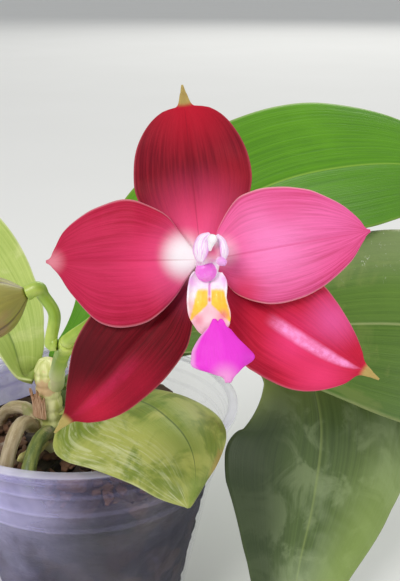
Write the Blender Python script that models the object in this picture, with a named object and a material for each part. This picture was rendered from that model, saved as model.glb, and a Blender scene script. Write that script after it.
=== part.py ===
"""A moth orchid in a clear nursery pot: one open flower and one bud on a short spike.

The origin is the centre of the pot's flat base. +Z is up and the flower faces -Y.
Shape lists are in millimetres and turned into metres by MM. The plant's own heights
count from the top of the potting mix, so the plant rides up and down with the mix.
"""

import math
import random

import bmesh
import bpy
import numpy as np
from mathutils import Matrix, Vector

MM = 0.001
GAP = 0.35  # between pieces that touch, in mm
SEATING = 0.6  # between a stalk's or a root's end and its seat, in mm

# Pot, in mm. Radii are across X; the soft wall is squeezed along Y towards the rim.
POT_HEIGHT = 90.0
POT_BASE_RADIUS = 30.5
POT_RIM_RADIUS = 50.0
POT_SQUEEZE = 0.12
POT_WALL = 0.8
POT_FLOOR = 1.4
FLANGE_WIDTH = 2.5
FLANGE_DROP = 2.4
RIB_DEPTHS = (5.0, 10.0, 17.0, 23.5)  # below the rim
RIB_HEIGHT = 0.5
POT_SIDES = 40
DRAIN_HOLES = 6
DRAIN_RADIUS = 3.0
DRAIN_CIRCLE = 19.0

# Potting mix
MIX_BELOW_RIM = 15.0
MIX_TOP = POT_HEIGHT - MIX_BELOW_RIM

# Stem: a short crown, a little to the left of the pot's middle
STEM_PLACE = (-12.0, -1.5)
STEM_RADIUS = 5.4
LEAF_SEATING = 0.14 * STEM_RADIUS  # between the middle of a straight leaf base and the round stem
STEM_ABOVE = 31.0
STEM_BELOW = 13.0

# Roots
ROOT_RADIUS = 2.4
ROOT_SIDES = 8

# Leaves and tepals
LEAF_THICKNESS = 1.7
OLD_LEAF_THICKNESS = 1.3
TEPAL_THICKNESS = 0.8
SHEATH_THICKNESS = 0.6

# Flower spike
SPIKE_RADIUS = 2.3
PEDICEL_RADIUS = 1.6
BUD_RADIUS = 8.0
BUD_LENGTH = 23.0

# Flower: its middle above the mix, and how far it looks up from level
FLOWER_PLACE = (40.6, -76.0, 90.5)
FLOWER_TILT = 21.0


def clear_scene():
    for old in list(bpy.data.objects):
        bpy.data.objects.remove(old, do_unlink=True)


def material(name, colour, roughness, alpha=1.0, coat=0.0):
    mat = bpy.data.materials.new(name)
    mat.use_nodes = True
    shader = mat.node_tree.nodes["Principled BSDF"]
    shader.inputs["Base Color"].default_value = (*colour, 1.0)
    shader.inputs["Roughness"].default_value = roughness
    shader.inputs["Metallic"].default_value = 0.0
    shader.inputs["Coat Weight"].default_value = coat
    shader.inputs["Alpha"].default_value = alpha
    return mat


def empty(name, place, tilt=0.0, parent=None):
    found = bpy.data.objects.new(name, None)
    found.location = Vector(place) * MM
    found.rotation_euler = (math.radians(tilt), 0.0, 0.0)
    found.parent = parent
    bpy.context.scene.collection.objects.link(found)
    return found


# ---------------------------------------------------------------- curves and meshes


def smooth(points, count):
    """A smooth run of count points through the given ones, evenly spaced along it."""
    knots = np.array(points, float)
    ends = np.vstack([2 * knots[0] - knots[1], knots, 2 * knots[-1] - knots[-2]])
    fine = []
    for i in range(len(knots) - 1):
        a, b, c, d = ends[i : i + 4]
        for t in np.linspace(0.0, 1.0, 16, endpoint=False):
            bend = (2 * a - 5 * b + 4 * c - d) * t**2 + (3 * b - a - 3 * c + d) * t**3
            fine.append(0.5 * (2 * b + (c - a) * t + bend))
    fine = np.array([*fine, knots[-1]])
    steps = np.linalg.norm(np.diff(fine[:, :3], axis=0), axis=1)
    along = np.concatenate([[0.0], np.cumsum(steps)])
    wanted = np.linspace(0.0, along[-1], count)
    return np.column_stack([np.interp(wanted, along, axis) for axis in fine.T])


def spread(values, count):
    """The given values, read smoothly at count even stations."""
    stations = np.arange(len(values), dtype=float)
    return smooth(np.column_stack([stations * 10.0, values]), count)[:, 1]


def unit(vector):
    return np.array(vector, float) / np.linalg.norm(vector)


def tangents(points):
    return np.array([unit(row) for row in np.gradient(points, axis=0)])


def run(route, count):
    """Points along a smooth route, with its heading at each."""
    fine = smooth(route, 8 * (count - 1) + 1)
    return fine[::8], tangents(fine)[::8]


def outline(pairs, stations):
    """Half widths at the stations, smoothly through (distance, half width) pairs."""
    fine = smooth(pairs, 12 * len(pairs))
    return np.interp(stations, fine[:, 0], fine[:, 1])


def finish(name, mesh, mat, parent):
    mesh.materials.append(mat)
    mesh.shade_smooth()
    mesh.set_sharp_from_angle(angle=math.radians(45))
    made = bpy.data.objects.new(name, mesh)
    made.parent = parent
    bpy.context.scene.collection.objects.link(made)
    return made


def skin(name, rings, mat, parent=None):
    """A closed solid over rings of equal length, with a flat cap at each end."""
    bm = bmesh.new()
    loops = [[bm.verts.new(Vector(p) * MM) for p in ring] for ring in rings]
    for low, high in zip(loops, loops[1:]):
        for i in range(len(low)):
            j = (i + 1) % len(low)
            bm.faces.new((low[i], low[j], high[j], high[i]))
    bm.faces.new(loops[0])
    bm.faces.new(loops[-1])
    bmesh.ops.recalc_face_normals(bm, faces=bm.faces)
    mesh = bpy.data.meshes.new(name)
    bm.to_mesh(mesh)
    bm.free()
    return finish(name, mesh, mat, parent)


def tube_rings(points, headings, radii, sides):
    """Round rings along a path, each turned as little as it can be from the one before."""
    rings = []
    side = unit(np.cross((0.13, 0.31, 0.94), headings[0]))
    for point, along, radius in zip(points, headings, radii):
        side = unit(side - along * side.dot(along))
        up = np.cross(along, side)
        turns = [2 * math.pi * i / sides for i in range(sides)]
        rings.append(
            [point + radius * (math.cos(t) * side + math.sin(t) * up) for t in turns]
        )
    return rings


def tube(name, route, radii, mat, parent, rows=12, sides=ROOT_SIDES):
    rings = tube_rings(*run(route, rows), spread(radii, rows), sides)
    return skin(name, rings, mat, parent)


def sheet(name, grid, thickness, mat, parent):
    """A thin solid over a grid of points, made by the Solidify modifier."""
    bm = bmesh.new()
    rows = [[bm.verts.new(Vector(p) * MM) for p in row] for row in grid]
    for low, high in zip(rows, rows[1:]):
        for i in range(len(low) - 1):
            bm.faces.new((low[i], low[i + 1], high[i + 1], high[i]))
    mesh = bpy.data.meshes.new(name)
    bm.to_mesh(mesh)
    bm.free()
    made = finish(name, mesh, mat, parent)
    solid = made.modifiers.new("Thickness", "SOLIDIFY")
    solid.thickness = thickness * MM
    solid.offset = 0.0
    return made


def blade_grid(spine, facing, left, right, rows, columns, channel, curl):
    """Points of a leaf or tepal. The spine runs from base to tip; facing is which way its
    upper face looks along the way; left and right are half widths at even stations;
    channel lifts the margins near the base and curl bends them back towards the middle."""
    points, headings = run(spine, rows)
    looks = smooth(facing, rows) if len(facing) > 1 else np.tile(facing[0], (rows, 1))
    lefts, rights = spread(left, rows), spread(right, rows)
    shares = np.linspace(-1.0, 1.0, columns + 1)
    grid = []
    for i, along in enumerate(headings):
        face = unit(looks[i] - along * looks[i].dot(along))
        across = np.cross(along, face)
        t = i / (rows - 1)
        row = []
        for s in shares:
            half = max(rights[i] if s > 0 else lefts[i], 0.25)
            rise = channel * (1 - t) * abs(s) ** 1.5 - curl * math.sin(math.pi * t) * s * s
            row.append(points[i] + across * s * half + face * rise * half)
        grid.append(row)
    return grid


def fan_grid(left, midrib, right, rows, columns):
    """Points of a leaf that fans out: the routes run from base to tip along its left margin,
    its midrib and its right margin, and each row bows smoothly through all three."""
    low, mid, high = (smooth(route, rows) for route in (left, midrib, right))
    shares = np.linspace(-1.0, 1.0, columns + 1)
    lean, bow = (high - low) / 2, (high + low) / 2 - mid
    return [[mid[i] + lean[i] * s + bow[i] * s * s for s in shares] for i in range(rows)]


def blade(name, mat, parent, thickness, rows=15, columns=8, channel=0.3, curl=0.1, **shape):
    grid = blade_grid(rows=rows, columns=columns, channel=channel, curl=curl, **shape)
    return sheet(name, grid, thickness, mat, parent)


# ---------------------------------------------------------------- pot and potting mix


def wall_radius(height):
    """The wall's outer radius across X at a height, in mm."""
    return POT_BASE_RADIUS + (POT_RIM_RADIUS - POT_BASE_RADIUS) * height / POT_HEIGHT


def squeeze(height):
    return 1.0 - POT_SQUEEZE * height / POT_HEIGHT


def oval(radius, height):
    """A ring of the pot. The wall keeps its thickness along Y as well."""
    wall = wall_radius(height)
    radius_y = wall * squeeze(height) + (radius - wall)
    turns = [2 * math.pi * i / POT_SIDES for i in range(POT_SIDES)]
    return [(radius * math.cos(t), radius_y * math.sin(t), height) for t in turns]


def pot_profile():
    """(radius, height) from the middle of the inner floor, over the rim, to the base."""
    inner_top = POT_RIM_RADIUS - POT_WALL
    flange = POT_RIM_RADIUS + FLANGE_WIDTH
    under = POT_HEIGHT - POT_WALL
    profile = [
        (wall_radius(POT_FLOOR) - POT_WALL, POT_FLOOR),
        (inner_top, POT_HEIGHT),
        (flange, POT_HEIGHT),
        (flange, POT_HEIGHT - FLANGE_DROP),
        (flange - POT_WALL, POT_HEIGHT - FLANGE_DROP),
        (flange - POT_WALL, under),
        (wall_radius(under), under),
    ]
    for depth in RIB_DEPTHS:
        for step, out in ((-0.7, 0.0), (0.0, RIB_HEIGHT), (0.7, 0.0)):
            height = POT_HEIGHT - depth - step
            profile.append((wall_radius(height) + out, height))
    profile.append((POT_BASE_RADIUS, 0.0))
    return profile


def make_pot(mat):
    pot = skin("pot", [oval(*spot) for spot in pot_profile()], mat)
    for i in range(DRAIN_HOLES):
        turn = 2 * math.pi * (i + 0.5) / DRAIN_HOLES
        place = Vector((math.cos(turn), math.sin(turn), 0.0)) * DRAIN_CIRCLE * MM
        cut(pot, cylinder(f"drain_cutter_{i}", place, DRAIN_RADIUS, 3 * POT_FLOOR))
    return pot


def cylinder(name, place, radius, length):
    bm = bmesh.new()
    bmesh.ops.create_cone(
        bm, cap_ends=True, segments=12, radius1=radius * MM, radius2=radius * MM, depth=length * MM
    )
    mesh = bpy.data.meshes.new(name)
    bm.to_mesh(mesh)
    bm.free()
    made = bpy.data.objects.new(name, mesh)
    made.location = place
    bpy.context.scene.collection.objects.link(made)
    return made


def cut(target, cutter):
    cutter.hide_render = True
    cutter.display_type = "WIRE"
    modifier = target.modifiers.new(cutter.name, "BOOLEAN")
    modifier.operation = "DIFFERENCE"
    modifier.solver = "EXACT"
    modifier.object = cutter


def mix_radius(height):
    return wall_radius(height) - POT_WALL - GAP


def mix_half_depth(height):
    """The mix's half size along Y at a height."""
    return wall_radius(height) * squeeze(height) - POT_WALL - GAP


def make_mix(mat):
    low = POT_FLOOR + GAP
    rings = [oval(mix_radius(height), height) for height in (low, MIX_TOP)]
    return skin("potting_mix", rings, mat)


def make_chips(mats, parent):
    """Loose bark on the mix: beveled blocks, each with its own size, turn and skew."""
    # (share of the mix's half width, share of its half depth, length, width, height, turn)
    chips = (
        (-0.62, -0.30, 11.0, 7.0, 5.0, 20.0),
        (-0.84, -0.06, 9.0, 6.0, 6.0, 75.0),
        (-0.02, -0.74, 10.0, 6.5, 4.5, -15.0),
        (0.08, -0.40, 12.0, 7.0, 5.5, 40.0),
        (0.34, -0.62, 11.0, 7.5, 5.0, -30.0),
        (0.46, -0.28, 9.0, 7.0, 6.0, 10.0),
        (0.72, -0.30, 8.5, 6.0, 5.0, 60.0),
        (0.80, 0.06, 10.0, 6.5, 5.5, 95.0),
        (0.55, 0.70, 9.0, 6.0, 4.5, -40.0),
        (0.10, 0.84, 10.0, 6.0, 5.0, 5.0),
        (-0.38, 0.66, 11.0, 7.0, 5.5, 35.0),
        (-0.36, 0.34, 8.0, 6.0, 4.5, -20.0),
    )
    rng = random.Random(7)
    for i, (share_x, share_y, length, width, height, turn) in enumerate(chips):
        bm = bmesh.new()
        bmesh.ops.create_cube(bm, size=1.0)
        for vert in bm.verts:
            vert.co.x *= length * MM * rng.uniform(0.82, 1.0)
            vert.co.y *= width * MM * rng.uniform(0.8, 1.0)
            top = height * MM * rng.uniform(0.75, 1.0)
            vert.co.z = top if vert.co.z > 0 else 0.0
        edges = [edge for edge in bm.edges if max(v.co.z for v in edge.verts) > 0]
        bmesh.ops.bevel(bm, geom=edges, offset=1.1 * MM, segments=1, affect="EDGES")
        mesh = bpy.data.meshes.new(f"bark_chip_{i + 1}")
        bm.to_mesh(mesh)
        bm.free()
        chip = finish(f"bark_chip_{i + 1}", mesh, mats[i % len(mats)], parent)
        x = share_x * mix_radius(MIX_TOP)
        y = share_y * mix_half_depth(MIX_TOP)
        chip.location = Vector((x, y, GAP)) * MM
        chip.rotation_euler = (0.0, 0.0, math.radians(turn))


# ---------------------------------------------------------------- stem and roots


def stem_radius(height):
    """The stem's radius at a height above the mix, in mm."""
    waist = 0.18 * math.cos(2 * math.pi * height / STEM_ABOVE)
    taper = 0.25 * max(height, 0.0) / STEM_ABOVE
    return STEM_RADIUS * (1.0 + 0.35 * waist - taper)


def stem_side(angle, height, away=SEATING):
    """A point beside the stem, away from its skin by that many mm."""
    turn = math.radians(angle)
    reach = stem_radius(height) + away
    return (
        STEM_PLACE[0] + reach * math.cos(turn),
        STEM_PLACE[1] + reach * math.sin(turn),
        height,
    )


def make_stem(mat, parent, name="stem", extra=0.0, below=STEM_BELOW):
    heights = np.linspace(-below, STEM_ABOVE, 9)
    points = np.array([(*STEM_PLACE, height) for height in heights])
    radii = [stem_radius(height) + extra for height in heights]
    radii[-1] *= 0.6
    upright = np.tile((0.0, 0.0, 1.0), (len(points), 1))
    return skin(name, tube_rings(points, upright, radii, 16), mat, parent)


def root_specs():
    """Name, colour slot, route and end radii of each root. A route starts beside the stem
    and runs on in shares of the mix's half width and half depth, with heights in mm."""

    def route(angle, height, *shares):
        wide, deep = mix_radius(MIX_TOP), mix_half_depth(MIX_TOP)
        start = [stem_side(angle, height), stem_side(angle, height + 0.6, 2.6)]
        return start + [(x * wide, y * deep, z) for x, y, z in shares]

    return (
        ("root_front", "root_green", route(
            -84, 6.5, (-0.25, -0.30, 9.5), (-0.29, -0.49, 10.0), (-0.32, -0.66, 5.5),
            (-0.33, -0.75, -0.5), (-0.34, -0.77, -7.0)), 1.0),
        ("root_left", "root_tan", route(
            -140, 8.0, (-0.40, -0.28, 13.0), (-0.42, -0.46, 15.0), (-0.46, -0.62, 10.0),
            (-0.50, -0.70, 1.0), (-0.51, -0.72, -6.0)), 1.0),
        ("root_tip_low", "root_yellow", route(
            -110, 2.6, (-0.35, -0.30, 2.8), (-0.40, -0.38, 2.8), (-0.46, -0.45, 2.9)), 0.75),
        ("root_back", "root_green", route(
            80, 7.0, (-0.20, 0.26, 9.5), (-0.12, 0.44, 8.0), (-0.05, 0.58, 2.0),
            (-0.03, 0.62, -6.0)), 1.0),
        ("root_back_left", "root_tan", route(
            155, 6.0, (-0.48, 0.12, 9.0), (-0.62, 0.20, 7.0), (-0.72, 0.26, 1.0),
            (-0.74, 0.28, -6.0)), 1.0),
        ("root_right", "root_green", route(
            0, 5.0, (-0.02, -0.06, 7.5), (0.14, -0.05, 6.0), (0.26, -0.03, 0.5),
            (0.30, -0.02, -6.0)), 0.9),
    )  # fmt: skip


def make_roots(mix, mats, parent):
    for name, slot, route, size in root_specs():
        full = ROOT_RADIUS * size
        tapered = [full, full, full, full, 0.8 * full]
        tube(name, route, tapered, mats[slot], parent, rows=14)
        if route[-1][2] < 0:
            wider = [radius + GAP for radius in tapered]
            longer = [*route[:-1], tuple(np.array(route[-1]) - (0, 0, 2 * GAP))]
            cut(mix, tube(name + "_cutter", longer, wider, mats[slot], parent, rows=14))


def make_sheath(mat, parent):
    """The dried base of a lost leaf, open at one side, standing round the stem's front."""
    low, high = 11.5, 20.5
    turns = np.linspace(-155.0, -92.0, 7)
    half = SHEATH_THICKNESS / 2 + SEATING
    grid = []
    for share in np.linspace(0.0, 1.0, 6):
        flare = 0.9 * share**2
        row = []
        for k, turn in enumerate(turns):
            ragged = 1.6 * math.sin(2.1 * k) * share
            height = low + (high - low) * share + ragged
            row.append(stem_side(turn, height, half + flare + 0.25))
        grid.append(row)
    sheet("old_sheath", grid, SHEATH_THICKNESS, mat, parent)


# ---------------------------------------------------------------- leaves


def leaf_base(angle, height):
    """The first two points of a leaf's spine, straight out from the stem."""
    return [stem_side(angle, height, LEAF_SEATING), stem_side(angle, height + 2.0, 4.5)]


def shifted(points, x, y):
    return [np.array(point) + (x, y, 0.0) for point in points]


def make_leaves(mats, parent):
    fresh = dict(parent=parent, thickness=LEAF_THICKNESS)
    rim = POT_RIM_RADIUS
    blade(
        "leaf_upper_right", mats["leaf_bright"], **fresh, channel=0.35, curl=0.08,
        spine=[*leaf_base(48, 29), (6, 9.5, 43), (22, 25, 56), (40, 40, 65), (62, 55, 75),
               (88, 67, 80), (121, 78, 80), (150, 84, 72), (172, 86, 60)],
        facing=[(-0.4, -0.2, 1), (-0.3, -0.6, 0.75), (0.1, -0.6, 0.75), (0.15, -0.5, 0.8)],
        left=[4.5, 19, 33, 36, 37, 36, 33, 23, 0], right=[4.2, 6.5, 11, 20, 30, 33, 30, 21, 0],
    )  # fmt: skip
    blade(
        "leaf_right", mats["leaf_dull"], **fresh, channel=0.3, curl=0.1,
        spine=[*leaf_base(6, 21), (18, 6, 31), (48, 13, 37), (80, 18, 35), (112, 21, 34),
               (142, 21, 29), (170, 17, 18), (192, 11, 3), (204, 8, -8)],
        facing=[(-0.2, 0, 1), (0, -0.4, 0.9), (0, -0.88, 0.45), (0, -0.9, 0.42),
                (0.2, -0.85, 0.45), (0.3, -0.8, 0.5)],
        left=[3.6, 6.5, 11.5, 23, 36, 38, 33, 20, 0], right=[3.6, 6.5, 11, 22, 34, 37, 32, 20, 0],
    )  # fmt: skip
    blade(
        "leaf_lower_right", mats["leaf_dark"], **fresh, channel=0.25, curl=0.12,
        spine=[*leaf_base(47, 12), (12, 16, 23), (34, 22, 32), (rim + 5, 24, 34),
               (rim + 25, 20, 23), (rim + 33, 11, 1), (rim + 30, -3, -22), (rim + 24, -16, -41),
               (rim + 19, -32, -56), (rim + 16, -46, -64)],
        facing=[(-0.1, -0.3, 0.95), (0, -0.3, 0.95), (0.4, -0.6, 0.7), (0.45, -0.85, 0.3),
                (0.4, -0.8, 0.5)],
        left=[3.6, 7, 12, 19, 30, 37, 43, 44, 40, 27, 0],
        right=[3.6, 7, 11, 12, 14, 17, 23, 33, 38, 30, 0],
    )  # fmt: skip
    blade(
        "leaf_left", mats["leaf_light"], **fresh, channel=0.55, curl=0.05,
        spine=[*leaf_base(172, 23), (-24, 3, 36), (-32, 11, 46), (-52, 23, 58), (-80, 33, 64),
               (-108, 40, 60), (-132, 44, 46), (-146, 45, 34)],
        facing=[(0.3, 0, 1), (0.3, -0.7, 0.7), (0, -0.6, 0.8), (-0.2, -0.3, 0.9)],
        left=[4.5, 14, 23, 27, 28, 25, 17, 0], right=[4.5, 13, 24, 28, 28, 25, 17, 0],
    )  # fmt: skip
    base = leaf_base(-18, 12.5)
    fan = fan_grid(
        [*shifted(base, 1.1, 3.4), (8, -2.5, 19.5), (18.1, -8.1, 25), (29, -20, 28),
         (36.5, -24.5, 28), (43, -29.5, 27), (46.3, -34.5, 25.5), (47, -40, 23.5),
         (44.5, -49, 21.5), (40.5, -56.5, 19.5), (36.8, -63.3, 17)],
        [*base, (5, -10, 20), (15.7, -18.7, 26), (24.5, -31, 30), (31.4, -41.6, 30.5),
         (35.6, -48.4, 29), (37.8, -54, 26), (38.1, -59.6, 22), (36.5, -63.5, 17)],
        [*shifted(base, -1.1, -3.4), (-3.5, -18, 20.5), (-3.8, -31.4, 23), (-4, -38.5, 20),
         (0, -43, 18.6), (8.7, -46.6, 18), (20.2, -53.8, 18), (28.5, -60.8, 18),
         (36.2, -63.4, 17)],
        rows=15, columns=8,
    )  # fmt: skip
    sheet("leaf_front_small", fan, OLD_LEAF_THICKNESS, mats["leaf_old"], parent)


# ---------------------------------------------------------------- spike, pedicels and bud

SPIKE_BENDS = ((-6.0, -15.0, 31.0), (-4.0, -25.0, 38.0), (1.0, -42.0, 52.0))
NODE_PLACE = (5.7, -56.7, 62.7)  # where the spike ends, above the mix
NODE_HEADING = (0.2, -0.7, 0.6)


def make_spike(mats, parent):
    green = mats["stalk"]
    thick = SPIKE_RADIUS
    thin = PEDICEL_RADIUS
    node = np.array(NODE_PLACE)
    route = [stem_side(-55, 24), stem_side(-55, 24.6, 2.8), *SPIKE_BENDS, node]
    tube("flower_spike", route, [thick, thick, 0.95 * thick, 0.95 * thick, thick], green, parent)

    along = unit(NODE_HEADING)
    back = in_flower((0.0, 0.0, -RECEPTACLE_DEPTH))
    bend = in_flower((0.0, 0.0, -RECEPTACLE_DEPTH - 6.0))
    start = node + along * SEATING
    route = [start, start + 3 * along, node + (9, -4, 9), back + (-14, 7, -4), bend, back]
    rings = tube_rings(*run(route, 15), spread([thin, thin, thin, 1.2 * thin], 15), ROOT_SIDES)
    for radius, depth in PEG:
        turns = [2 * math.pi * i / ROOT_SIDES for i in range(ROOT_SIDES)]
        ring = [(radius * math.cos(t), radius * math.sin(t), depth) for t in turns]
        rings.append(matched([in_flower(spot) for spot in ring], rings[-1]))
    skin("flower_pedicel", rings, green, parent)

    side = unit(np.cross(along, (0.0, 1.0, 0.2)))
    start = node - 2.5 * along + side * (thick + SEATING)
    route = [start, start + 1.5 * side, node + (-3.4, 2.0, 7.0), node + (-6.0, 2.5, 12.0),
             bud_end(-3.0), bud_end(0.0)]  # fmt: skip
    tube("bud_pedicel", route, [thin, thin, thin, 1.15 * thin], green, parent, rows=9)

    bud_axis = [bud_end(SEATING + share * BUD_LENGTH) for share in np.linspace(0, 1, 9)]
    headings = np.tile(unit(BUD_HEADING), (9, 1))
    shape = [0.3, 0.62, 0.86, 0.98, 1.0, 0.93, 0.77, 0.5, 0.12]
    radii = [BUD_RADIUS * share for share in shape]
    skin("flower_bud", tube_rings(bud_axis, headings, radii, 14), mats["bud"], parent)

    make_bract("bract_upper", mats["bract"], parent, node - 4.0 * along, along, (0.9, -0.2, 0.5))
    make_bract("bract_lower", mats["bract"], parent, np.array(SPIKE_BENDS[1]),
               (0.22, -0.78, 0.6), (0.5, -0.1, 0.9))  # fmt: skip


BUD_BASE = (-4.0, -55.5, 76.0)
BUD_HEADING = (-0.93, -0.1, -0.35)


def bud_end(distance):
    """A point on the bud's axis, that far in mm from the pedicel's end."""
    return np.array(BUD_BASE) + distance * unit(BUD_HEADING)


def make_bract(name, mat, parent, centre, heading, outwards):
    """A small pointed scale that hugs the spike on its outwards side."""
    along = unit(heading)
    out = unit(np.array(outwards) - along * along.dot(outwards))
    foot = centre + out * (SPIKE_RADIUS + GAP + 0.35)
    spine = [foot + along * reach + out * 0.06 * reach**2 for reach in (0.0, 2.5, 5.0)]
    blade(name, mat, parent, 0.5, rows=5, columns=4, channel=-0.1, curl=0.1,
          spine=spine, facing=[tuple(out)], left=[1.7, 1.6, 0], right=[1.7, 1.6, 0])  # fmt: skip


# ---------------------------------------------------------------- flower
# In the flower's own frame X is to its left as it looks out, Y is up and Z is outwards.

SEPAL_LEVEL = -2.7  # the sepals' bases on Z; the petals' bases lie in front of them
PETAL_LEVEL = -1.3
TEPAL_ROWS = 16
RECEPTACLE_DEPTH = 3.9
PEG = ((3.3, -3.55), (1.2, -3.5), (1.2, -0.55))  # (radius, Z) of the stalk's end


def in_flower(spot):
    """A point of the flower's own frame, in the plant's."""
    turn = Matrix.Rotation(math.radians(90 - FLOWER_TILT), 3, "X")
    return np.array(FLOWER_PLACE) + np.array(turn @ Vector(spot))


def matched(ring, before):
    """The ring, started at the point nearest to the ring before's first, the same way round."""
    ring = np.array(ring)
    tries = [np.roll(way, -k, axis=0) for way in (ring, ring[::-1]) for k in range(len(ring))]
    return min(tries, key=lambda one: np.linalg.norm(one - np.array(before), axis=1).sum())


def tepal(name, mat, parent, base, tip, level, left, right, lean, channel, curl):
    """A sepal or petal that lies near the flower's plane. Its outline is given on both sides
    of the line from its base to its tip, as (distance, half width), past the tip to the end
    of its small point; lean is how far its middle stands out of the plane."""
    start = np.array((*base, level), float)
    reach = unit(np.array((*tip, level)) - start)
    across = np.cross(reach, (0.0, 0.0, 1.0))
    length = left[-1][0]
    stations = length * (1 - (1 - np.linspace(0.0, 1.0, TEPAL_ROWS)) ** 1.5)
    lefts, rights = outline(left, stations), outline(right, stations)
    grid = []
    for distance, left_half, right_half in zip(stations, lefts, rights):
        t = distance / length
        stand = lean * math.sin(math.pi * t**0.8)
        row = []
        for s in np.linspace(-1.0, 1.0, 9):
            half = max(right_half if s > 0 else left_half, 0.2)
            rise = channel * abs(s) - curl * math.sin(math.pi * t) * s * s
            spot = start + reach * distance + across * s * half
            row.append(spot + np.array((0.0, 0.0, stand + rise * half)))
        grid.append(row)
    return sheet(name, grid, TEPAL_THICKNESS, mat, parent)


def make_flower(mats, parent):
    crimson = mats["crimson"]
    tepal(
        "dorsal_sepal", mats["crimson_dark"], parent, (-0.9, 2.2), (-4.6, 35.8), SEPAL_LEVEL,
        [(0, 1.4), (5, 7.2), (10, 11), (15, 13), (19, 13.2), (24, 12.3), (28, 10.4), (31, 8),
         (33, 5), (33.9, 1.6), (38.2, 0.2)],
        [(0, 1.4), (5, 7.4), (10, 11.2), (15, 13.1), (19, 13.4), (24, 12.5), (28, 10.7),
         (31, 8.4), (33, 5.4), (33.9, 1.8), (38.2, 0.2)],
        lean=-1.4, channel=0.0, curl=-0.04,
    )  # fmt: skip
    tepal(
        "left_petal", crimson, parent, (-2.0, 1.2), (-34.2, 0.8), PETAL_LEVEL,
        [(0, 1.3), (1.8, 3.6), (5.3, 8.8), (10.2, 13.2), (15.7, 14.8), (20.5, 14.2),
         (23.8, 11.9), (27.9, 6.9), (30.4, 3), (32.4, 0.9), (33.4, 0.3)],
        [(0, 1.3), (3.8, 6.4), (7.1, 10.4), (13.9, 13.4), (19, 13), (24.5, 10.6), (29.2, 6.8),
         (31.2, 3.2), (32.4, 0.9), (33.4, 0.3)],
        lean=1.8, channel=0.0, curl=0.1,
    )  # fmt: skip
    tepal(
        "right_petal", crimson, parent, (2.0, 1.4), (35.8, 7.5), PETAL_LEVEL,
        [(0, 1.3), (2.2, 6.4), (6.6, 11.6), (10.2, 13.2), (16.1, 13.4), (23.6, 11.2),
         (29.6, 7.2), (32.8, 3.6), (34.4, 0.9), (35.4, 0.3)],
        [(0, 1.3), (1.5, 5), (4.2, 9), (10.4, 12), (17.2, 12), (23.4, 10.1), (29.7, 6),
         (33, 2.4), (34.4, 0.9), (35.4, 0.3)],
        lean=1.8, channel=0.0, curl=0.1,
    )  # fmt: skip
    tepal(
        "left_lateral_sepal", crimson, parent, (-1.5, -1.6), (-30.8, -34.3), SEPAL_LEVEL,
        [(0, 1.2), (5, 3.6), (11.6, 8), (16, 9.7), (24, 10.3), (32.8, 9.1), (38, 7),
         (41.5, 4.2), (43.7, 1.4), (48, 0.2)],
        [(0, 1.2), (6, 6), (12, 9.4), (18, 11.3), (23, 11.7), (30.6, 10), (37.3, 6), (41, 3.2),
         (43.7, 1.4), (48, 0.2)],
        lean=-1.0, channel=0.08, curl=0.1,
    )  # fmt: skip
    tepal(
        "right_lateral_sepal", crimson, parent, (1.8, -1.2), (35.4, -23.2), SEPAL_LEVEL,
        [(0, 1.2), (6, 6.5), (12, 10), (18, 11.2), (22.7, 11), (27, 9.6), (30.4, 8),
         (34.6, 5.6), (37.8, 3.3), (40, 1.4), (44.2, 0.2)],
        [(0, 1.2), (5, 6), (10, 10.5), (16.9, 13.6), (21, 13.9), (25, 13.6), (29, 12.8),
         (32.6, 11.1), (35.9, 8.4), (38.6, 5), (40.2, 1.6), (44.2, 0.2)],
        lean=-1.0, channel=0.08, curl=0.1,
    )  # fmt: skip
    make_column(mats, parent)
    make_lip(mats["lip"], parent)


def ellipses(stations, sides=14):
    """Rings in the flower's frame from (middle X, middle Y, half X, half Y, Z)."""
    turns = [2 * math.pi * i / sides for i in range(sides)]
    return [
        [(x + wide * math.cos(t), y + tall * math.sin(t), z) for t in turns]
        for x, y, wide, tall, z in stations
    ]


def make_column(mats, parent):
    """The column stands out of the flower's middle, with a foot below it for the lip. It
    carries the loose anther cap at its end."""
    stations = (
        (0.3, -1.6, 1.6, 3.2, -0.2), (0.4, -1.6, 2.2, 3.7, 0.8), (0.5, -0.9, 2.4, 3.2, 2.4),
        (0.6, 1.6, 3.0, 3.2, 4.6), (0.9, 3.0, 3.4, 3.4, 6.2), (1.0, 3.5, 2.9, 2.9, 7.0),
    )  # fmt: skip
    skin("column", ellipses(stations), mats["column"], parent)
    stations = (
        (1.3, 4.5, 1.3, 1.9, 7.35), (1.4, 4.8, 1.5, 2.0, 8.0), (1.5, 5.1, 1.2, 1.6, 8.8),
        (1.55, 5.3, 0.5, 0.7, 9.3),
    )  # fmt: skip
    skin("anther_cap", ellipses(stations, 12), mats["cap"], parent)


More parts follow.
